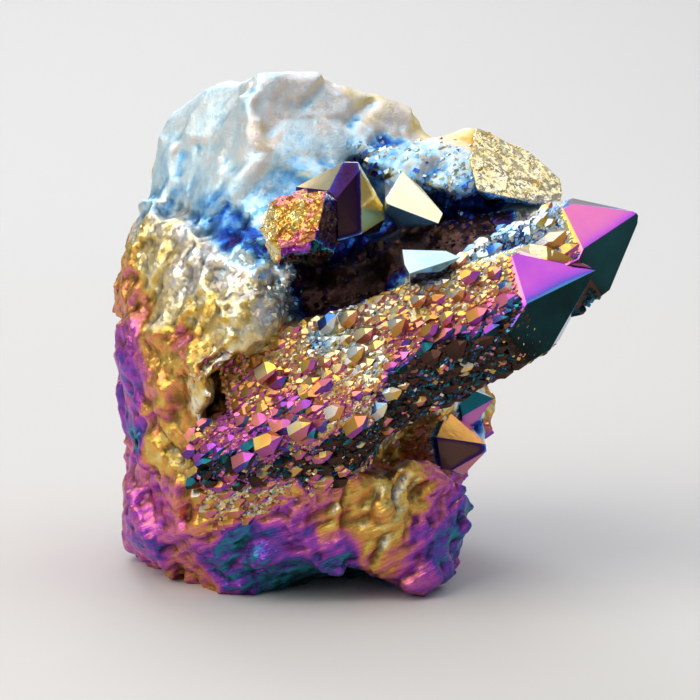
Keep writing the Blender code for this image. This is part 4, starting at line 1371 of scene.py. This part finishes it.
def grown_mesh(name, grains):
    """One mesh of many grains. Each is (shape, tip in mm, axes as rows, size, film)."""
    points, triangles, films, hollows = [], [], [], []
    first = 0
    for (along, faces, depth), place, axes, size, film in grains:
        points.append(place + size * (along @ axes))
        triangles.append(faces + first)
        films.append(np.full(len(along), film))
        # painted shade, deepest where the crystal is most hidden
        hollows.append(depth)
        first += len(along)
    obj = mesh_object(name, np.concatenate(points) * MM, np.concatenate(triangles))
    keep_value(obj.data, "film", np.concatenate(films))
    keep_value(obj.data, "hollow_shade", np.concatenate(hollows))
    return obj


def tree_of(obj):
    """An object's faces, sorted so that the nearest one to a place is found at once."""
    points = [v.co.copy() for v in obj.data.vertices]
    faces = [tuple(p.vertices) for p in obj.data.polygons]
    return BVHTree.FromPolygons(points, faces)


def depth_in(tree, point):
    """How deep a point in millimetres lies inside a closed skin."""
    point = Vector(point) * MM
    place, normal, *_ = tree.find_nearest(point)
    return (place - point).dot(normal) / MM


def all_solids():
    """The planes of every crystal."""
    shapes = {name: crystal(**spec) for name, spec in CRYSTALS.items()}
    shapes |= {name: hull_of(corners) for name, corners in BROKEN_CRYSTALS.items()}
    return {name: planes_of(shape) for name, shape in shapes.items()}


def hiding(name, solids):
    """A measure of how deep points in metres lie in the root or in another crystal, in millimetres."""
    around = [(planes, CRYSTAL_MARGIN) for other, planes in solids.items() if other != name]
    around += [(planes_of(hull_of(corners)), ROOT_MARGIN) for corners in ROOT_BLOCKS.values()]

    def depth_of(points):
        depths = [-above(planes, points / MM).max(1) - margin for planes, margin in around]
        return np.maximum(np.max(depths, axis=0), 0)

    return depth_of


def turned(axes, rng, spread):
    """Axes turned a little, about a direction drawn at random."""
    about = Vector([rng.gauss(0, 1) for _ in range(3)]).normalized()
    spin = Matrix.Rotation(math.radians(rng.gauss(0, spread)), 3, about)
    return [spin @ axis for axis in axes]


def leaning(axes, out, rng):
    """Axes leant outward from a host's side, as its small crystals grow."""
    lean = math.radians(rng.uniform(16, 32))
    about = axes[0].cross(out)
    tilt = Matrix.Rotation(lean, 3, about)
    if (tilt @ axes[0]).dot(out) < axes[0].dot(out):
        tilt = Matrix.Rotation(-lean, 3, about)
    return [tilt @ axis for axis in axes]


def rows_of(axes):
    """Three axes as the rows of an array."""
    return np.array([tuple(axis) for axis in axes])


def polygons_of(mesh):
    """The middles in millimetres, directions and areas of a mesh's polygons."""
    centres, normals = (read(mesh.polygons, name, 3).astype(float) for name in ("center", "normal"))
    return centres / MM, normals, read(mesh.polygons, "area").astype(float)


def within(shapes, place, margin):
    """Whether a place in millimetres lies in one of the shapes, or no further outside than a margin."""
    return any((above(planes, place[None]) < margin).all() for planes in shapes)


def overgrown(host, rng, points, rhombs, tree, others, beside):
    """The small crystals that lie much alike on a host's sides."""
    lattice, tip, sides, ends = growth_frame(CRYSTALS[host])
    outs = [side_direction(lattice, side) for side in range(6)]
    axis, tip = np.array(lattice[0]), np.array(tip)
    centres, _, areas = polygons_of(bpy.data.objects[f"{host}_crystal"].data)
    back = (tip - centres) @ axis
    beyond, front = above(sides, centres), above(ends, centres).max(1)
    reach = np.linalg.norm(centres - tip, axis=1)
    side_of = np.argmax(beyond, axis=1)
    is_side = (beyond.max(1) > front) & (front < -0.12)
    kept = []
    taken = np.empty((0, 4))
    for place, size, film in SINGLES.get(host, ()):
        axes = rows_of(turned(leaning(lattice, outs[1], rng), rng, 4))
        kept.append((rng.choice(points), np.array(place), axes, size, film))
        taken = np.vstack([taken, [*(np.array(place) - axis * size), 1.4 * size]])
    for layer in OVERGROWTH[host]:
        small = layer["size"][1] < SMALL_WIDTH
        chosen = is_side & np.isin(side_of, layer["sides"])
        chosen &= (back > layer["start"]) & (back < layer["end"])
        chosen |= ~is_side & np.isin(side_of, layer["sides"]) & (reach > layer.get("bare", np.inf))
        chosen = np.flatnonzero(chosen)
        made = 0
        for pick in drawn(rng, chosen, layer["count"] * 3, areas[chosen]):
            if made >= layer["count"]:
                break
            size = rng.uniform(*layer["size"])
            base = centres[pick]
            if is_side[pick] and front[pick] > -0.35 * size:
                continue
            gap = np.linalg.norm(taken[:, :3] - base, axis=1)
            if (gap < layer["apart"] * 0.5 * (taken[:, 3] + size)).any():
                continue
            if depth_in(tree, base) > MOST_BURIED:
                continue
            if within(others, base, INSIDE_OTHERS) or within(beside, base, NEAR_BESIDE):
                continue
            side = outs[side_of[pick]]
            axes = rows_of(turned(leaning(lattice, side, rng), rng, 8.0 if small else 5.0))
            place = base + np.array(side) * (layer["rise"] * size * rng.uniform(0.1, 1.4))
            film = zoned_film(np.array([place]))[0] - drift(np.array(side)) + rng.gauss(0, FILM_SCATTER)
            film += FILM_BY_SIZE * (size - MIDDLE_SIZE)
            # Painted shade and painted glints: on a side in shade a thick film is set near black, and a
            # share of the crystals gets a bright film instead.
            if "painted_glints" in layer and film > PAINTED_SHADE_FROM:
                film = PAINTED_SHADE_FILM
            if rng.random() < layer.get("painted_glints", 0):
                film = rng.uniform(*PAINTED_GLINT_FILMS) + GLINT_DRIFT * max(0.0, GLINT_EDGE - place[0])
            shape = rng.choice(rhombs if small else points)
            if small:
                axes = axes * np.array([[RHOMB_STRETCH], [1.0], [1.0]])
            kept.append((shape, place, axes, size, film))
            taken = np.vstack([taken, [*base, size]])
            made += 1
    return kept


def planes_of(bm):
    """A convex shape's planes in millimetres, each row its direction and distance."""
    rows = [(*face.normal, face.normal.dot(face.calc_center_median()) / MM) for face in bm.faces]
    bm.free()
    return np.array(rows)


def druse_grains(root, rng, points, rhombs, solids):
    """Grains that stand on the root, patch by patch."""
    centres, normals, areas = polygons_of(root.data)
    kept = []
    low, high = (np.array(corner) / MM for corner in CAD_BOX)
    for patch in DRUSE.values():
        near = np.linalg.norm(centres - np.array(patch["centre"]), axis=1) / patch["reach"]
        chosen = np.flatnonzero((near < 1) & (centres[:, 2] > LOWEST_DRUSE))
        weight = areas[chosen] * (1 - near[chosen] ** 2) ** 0.5
        for pick in drawn(rng, chosen, patch["count"], weight):
            place, normal = centres[pick], Vector(normals[pick])
            if within(solids, place, DRUSE_INSIDE):
                continue
            size = rng.uniform(*patch["size"])
            lean = Vector([rng.gauss(0, DRUSE_SCATTER) for _ in range(3)])
            axis = (0.8 * normal + lean + DRUSE_LEAN).normalized()
            level = axis.cross(Vector([rng.gauss(0, 1) for _ in range(3)])).normalized()
            spot = place + np.array(normal) * size * rng.uniform(0.1, 0.8)
            if (spot < low + BOX_INSET).any() or (spot > high - BOX_INSET).any() or spot[2] < 1.6 * size:
                continue
            film = zoned_film(np.array([place]))[0] - drift(np.array(normal))
            film += rng.gauss(0, DRUSE_FILM_SCATTER)
            shape = rng.choice(rhombs if rng.random() < RHOMB_PART else points)
            kept.append((shape, spot, rows_of((axis, level.cross(axis), level)), size, film))
    return kept


def drawn(rng, options, count, weight):
    """Picks drawn by weight, from one seeded source of chance."""
    ladder = np.cumsum(weight / weight.sum())
    return [options[min(np.searchsorted(ladder, rng.random()), len(options) - 1)] for _ in range(count)]


def colour_property(label, hex_colour, what):
    """A colour that a user can change, given as sRGB hex."""
    return FloatVectorProperty(
        name=label, description=what, subtype="COLOR", size=3, min=0, max=1,
        default=linear(hex_colour),
    )


class FilmSettings(PropertyGroup):
    """The colours of the interference film, from thin to thick, and of the painted shade deep in the
    recesses.
    """

    __annotations__ = {
        name: colour_property(
            name.replace("_", " ").capitalize(), colour, f"Film colour at {position:.2f} of its scale"
        )
        for name, colour, position in FILM
    }
    __annotations__["recess"] = colour_property(
        "Recess", "#0c080a", "Colour deep between the grains, where little light returns"
    )


class ShapeSettings(PropertyGroup):
    seed: IntProperty(name="Seed", description="Draws another growth of small crystals", default=7)
    crystal_grain: FloatProperty(
        name="Face grain", description="Longest edge on the long crystals' faces", subtype="DISTANCE",
        unit="LENGTH", default=0.0006, min=0.0002, max=0.004,
    )


class StageSettings(PropertyGroup):
    floor_colour: colour_property("Floor", "#cfcdc9", "Colour of the plain floor")
    sky_colour: colour_property("Room", "#b9c0c8", "Colour of the light from all round")
    sky_strength: FloatProperty(
        name="Room light", description="Strength of the light from all round", default=0.5, min=0
    )
    key_power: FloatProperty(
        name="Key light", description="Power of the large soft light", subtype="POWER",
        unit="POWER", default=6.2, min=0,
    )


class QUARTZ_OT_root(Operator):
    """Builds the fractured root"""

    bl_idname = "quartz.root"
    bl_label = "Fractured root"

    def execute(self, context):
        root = root_skin()
        crease_root(root)
        shade_root(root)
        root.data.shade_smooth()
        # A titanium film, laid from vapour on broken quartz: a satin, metal-like gleam that runs through
        # the colours of the film's thickness, with painted shade in the pits. The real surface's grit is a
        # few hundredths of a millimetre wide and its striations a tenth: both are drawn coarser, to show.
        material = film_material(
            "titanium_film_on_fractured_quartz", roughness=0.28, satin=0.14, patch=3.5,
            patch_share=0.05, grit=0.25, grit_depth=0.08, metal=0.9,
            chips=((1.5, 0.34), (0.62, 0.25)), shading=0.7, streaks=(3.0, 0.42, 0.22),
        )
        dress(root, material)
        return {"FINISHED"}


class QUARTZ_OT_broken_crystals(Operator):
    """Builds the broken crystals on the front"""

    bl_idname = "quartz.broken_crystals"
    bl_label = "Broken crystals"

    def execute(self, context):
        # The film on faces that grew flat: mirror-like, one slightly clouded colour to a face, like
        # anodised metal. The chips on the torn ends are drawn coarser than the real ones, to show.
        material = film_material(
            "titanium_film_on_crystal_faces", roughness=0.13, satin=0.12, patch=5.0,
            patch_share=0.035, grit=0.8, grit_depth=0.02, drifts=False, chips=((0.75, 0.34), (0.36, 0.14)),
        )
        solids = all_solids()
        for name, corners in BROKEN_CRYSTALS.items():
            rough, stain, grain = TORN.get(name, (None, 0.0, BROKEN_GRAIN))
            dressed_crystal(
                name, hull_of(corners), FACE_FILMS[name], material, hiding(name, solids), grain,
                BROKEN_RIM_WIDTH, rough=rough, stain=stain,
            )
        return {"FINISHED"}


class QUARTZ_OT_long_crystals(Operator):
    """Builds the whole crystals, front and back"""

    bl_idname = "quartz.long_crystals"
    bl_label = "Whole crystals"

    def execute(self, context):
        grain = context.scene.quartz_shape.crystal_grain / MM
        material = bpy.data.materials["titanium_film_on_crystal_faces"]
        solids = all_solids()
        for name, spec in CRYSTALS.items():
            films = FACE_FILMS.get(name, FACE_FILMS["any"])
            fine = SCALE_GRAINS.get(name, grain)
            rim = LARGE_RIM_WIDTH if name in RIM_SHARES else RIM_WIDTH
            rim_share = RIM_SHARES.get(name, RIM_SHARE)
            depth_of = hiding(name, solids)
            obj = dressed_crystal(
                f"{name}_crystal", crystal(**spec), films, material, depth_of, fine, rim, rim_share
            )
            if name in OVERGROWTH:
                beside = [solids[other] for other in BARE_BESIDE.get(name, ())]
                grow_scales(obj, spec, name in WHOLLY_GROWN, beside)
        return {"FINISHED"}


class QUARTZ_OT_overgrowth(Operator):
    """Covers the long crystals with small ones that lie parallel to them"""

    bl_idname = "quartz.overgrowth"
    bl_label = "Overgrowth"

    def execute(self, context):
        rng = random.Random(context.scene.quartz_shape.seed)
        points, rhombs = point_shapes(rng), rhomb_shapes(rng)
        root = bpy.data.objects["fractured_root"]
        tree = tree_of(root)
        # The film on crystals about half a millimetre wide: a sparkle of separate glints, some of them
        # painted as bright films, over gaps darkened with painted shade. The etching on such small faces is
        # drawn coarser than the real one, to show.
        material = film_material(
            "titanium_film_on_small_crystals", roughness=0.27, satin=0.14, patch=2.6,
            patch_share=0.05, grit=0.18, grit_depth=0.03, metal=0.9, shading=0.45, thinning=0.05,
        )
        solids = all_solids()
        for host in OVERGROWTH:
            others = [planes for name, planes in solids.items() if name != host]
            beside = [solids[other] for other in BARE_BESIDE.get(host, ())]
            grains = overgrown(host, rng, points, rhombs, tree, others, beside)
            if not grains:
                raise RuntimeError(f"{host} took no small crystals")
            dress(grown_mesh(f"{host}_overgrowth", grains), material)
        grains = druse_grains(root, rng, points, rhombs, list(solids.values()))
        dress(grown_mesh("root_druse", grains), material)
        return {"FINISHED"}


class QUARTZ_OT_stage(Operator):
    """Sets out the plain floor, the soft lights and the camera"""

    bl_idname = "quartz.stage"
    bl_label = "Stage"

    def execute(self, context):
        settings = context.scene.quartz_stage
        bm = bmesh.new()
        sweep = [(FLOOR_FRONT, 0.0), (BEND_START, 0.0)]
        for step in range(1, BEND_STEPS + 1):
            angle = math.radians(90 * step / BEND_STEPS)
            rise = BEND_RADIUS * (1 - math.cos(angle))
            sweep.append((BEND_START + BEND_RADIUS * math.sin(angle), rise))
        sweep.append((BEND_START + BEND_RADIUS, FLOOR_TOP))
        rows = [[bm.verts.new((x, y, z)) for x in (-FLOOR_HALF_WIDTH, FLOOR_HALF_WIDTH)] for y, z in sweep]
        for low, high in zip(rows, rows[1:]):
            bm.faces.new((low[0], low[1], high[1], high[0]))
        floor = object_from(bm, "floor")
        floor.data.shade_smooth()
        # Matt uncoated paper: an even, pale ground without glare.
        paper = bpy.data.materials.new("matt_studio_paper")
        paper.use_nodes = True
        shader = paper.node_tree.nodes["Principled BSDF"]
        shader.inputs["Base Color"].default_value = (*settings.floor_colour, 1.0)
        shader.inputs["Roughness"].default_value = 0.85
        floor.data.materials.append(paper)
        for name, (place, aim, size, share, colour) in LIGHTS.items():
            light = bpy.data.lights.new(name, "AREA")
            light.size = size
            light.energy = settings.key_power * share
            light.color = linear(colour)
            lamp = bpy.data.objects.new(name, light)
            lamp.location = place
            lamp.rotation_euler = (Vector(aim) - Vector(place)).to_track_quat("-Z", "Y").to_euler()
            context.scene.collection.objects.link(lamp)
        world = bpy.data.worlds.new("room")
        world.use_nodes = True
        glow = world.node_tree.nodes["Background"]
        glow.inputs["Color"].default_value = (*settings.sky_colour, 1.0)
        glow.inputs["Strength"].default_value = settings.sky_strength
        context.scene.world = world
        lens = bpy.data.cameras.new("camera")
        lens.lens = CAMERA_LENS
        lens.sensor_width = CAMERA_SENSOR
        lens.clip_start = CAMERA_NEAR
        camera = bpy.data.objects.new("camera", lens)
        camera.location = CAMERA_PLACE
        camera.rotation_euler = (CAMERA_TILT, 0, 0)
        context.scene.collection.objects.link(camera)
        context.scene.camera = camera
        context.scene.view_settings.view_transform = "Standard"
        return {"FINISHED"}


class QUARTZ_PT_panel(Panel):
    """Lists the steps that build the cluster"""

    bl_label = "Quartz cluster"
    bl_space_type = "VIEW_3D"
    bl_region_type = "UI"
    bl_category = "Quartz"

    def draw(self, context):
        for step in STEPS:
            self.layout.operator(step.bl_idname)
        for group in (context.scene.quartz_shape, context.scene.quartz_film, context.scene.quartz_stage):
            box = self.layout.box()
            for name in type(group).__annotations__:
                box.prop(group, name)


STEPS = (
    QUARTZ_OT_root,
    QUARTZ_OT_broken_crystals,
    QUARTZ_OT_long_crystals,
    QUARTZ_OT_overgrowth,
    QUARTZ_OT_stage,
)
GROUPS = {"quartz_shape": ShapeSettings, "quartz_film": FilmSettings, "quartz_stage": StageSettings}


def register():
    for kind in (*GROUPS.values(), *STEPS, QUARTZ_PT_panel):
        bpy.utils.register_class(kind)
    for name, kind in GROUPS.items():
        setattr(bpy.types.Scene, name, PointerProperty(type=kind))


def unregister():
    for name in GROUPS:
        delattr(bpy.types.Scene, name)
    for kind in reversed((*GROUPS.values(), *STEPS, QUARTZ_PT_panel)):
        bpy.utils.unregister_class(kind)


def main():
    register()
    for step in STEPS:
        kind, name = step.bl_idname.split(".")
        getattr(getattr(bpy.ops, kind), name)()


if __name__ == "__main__":
    main()
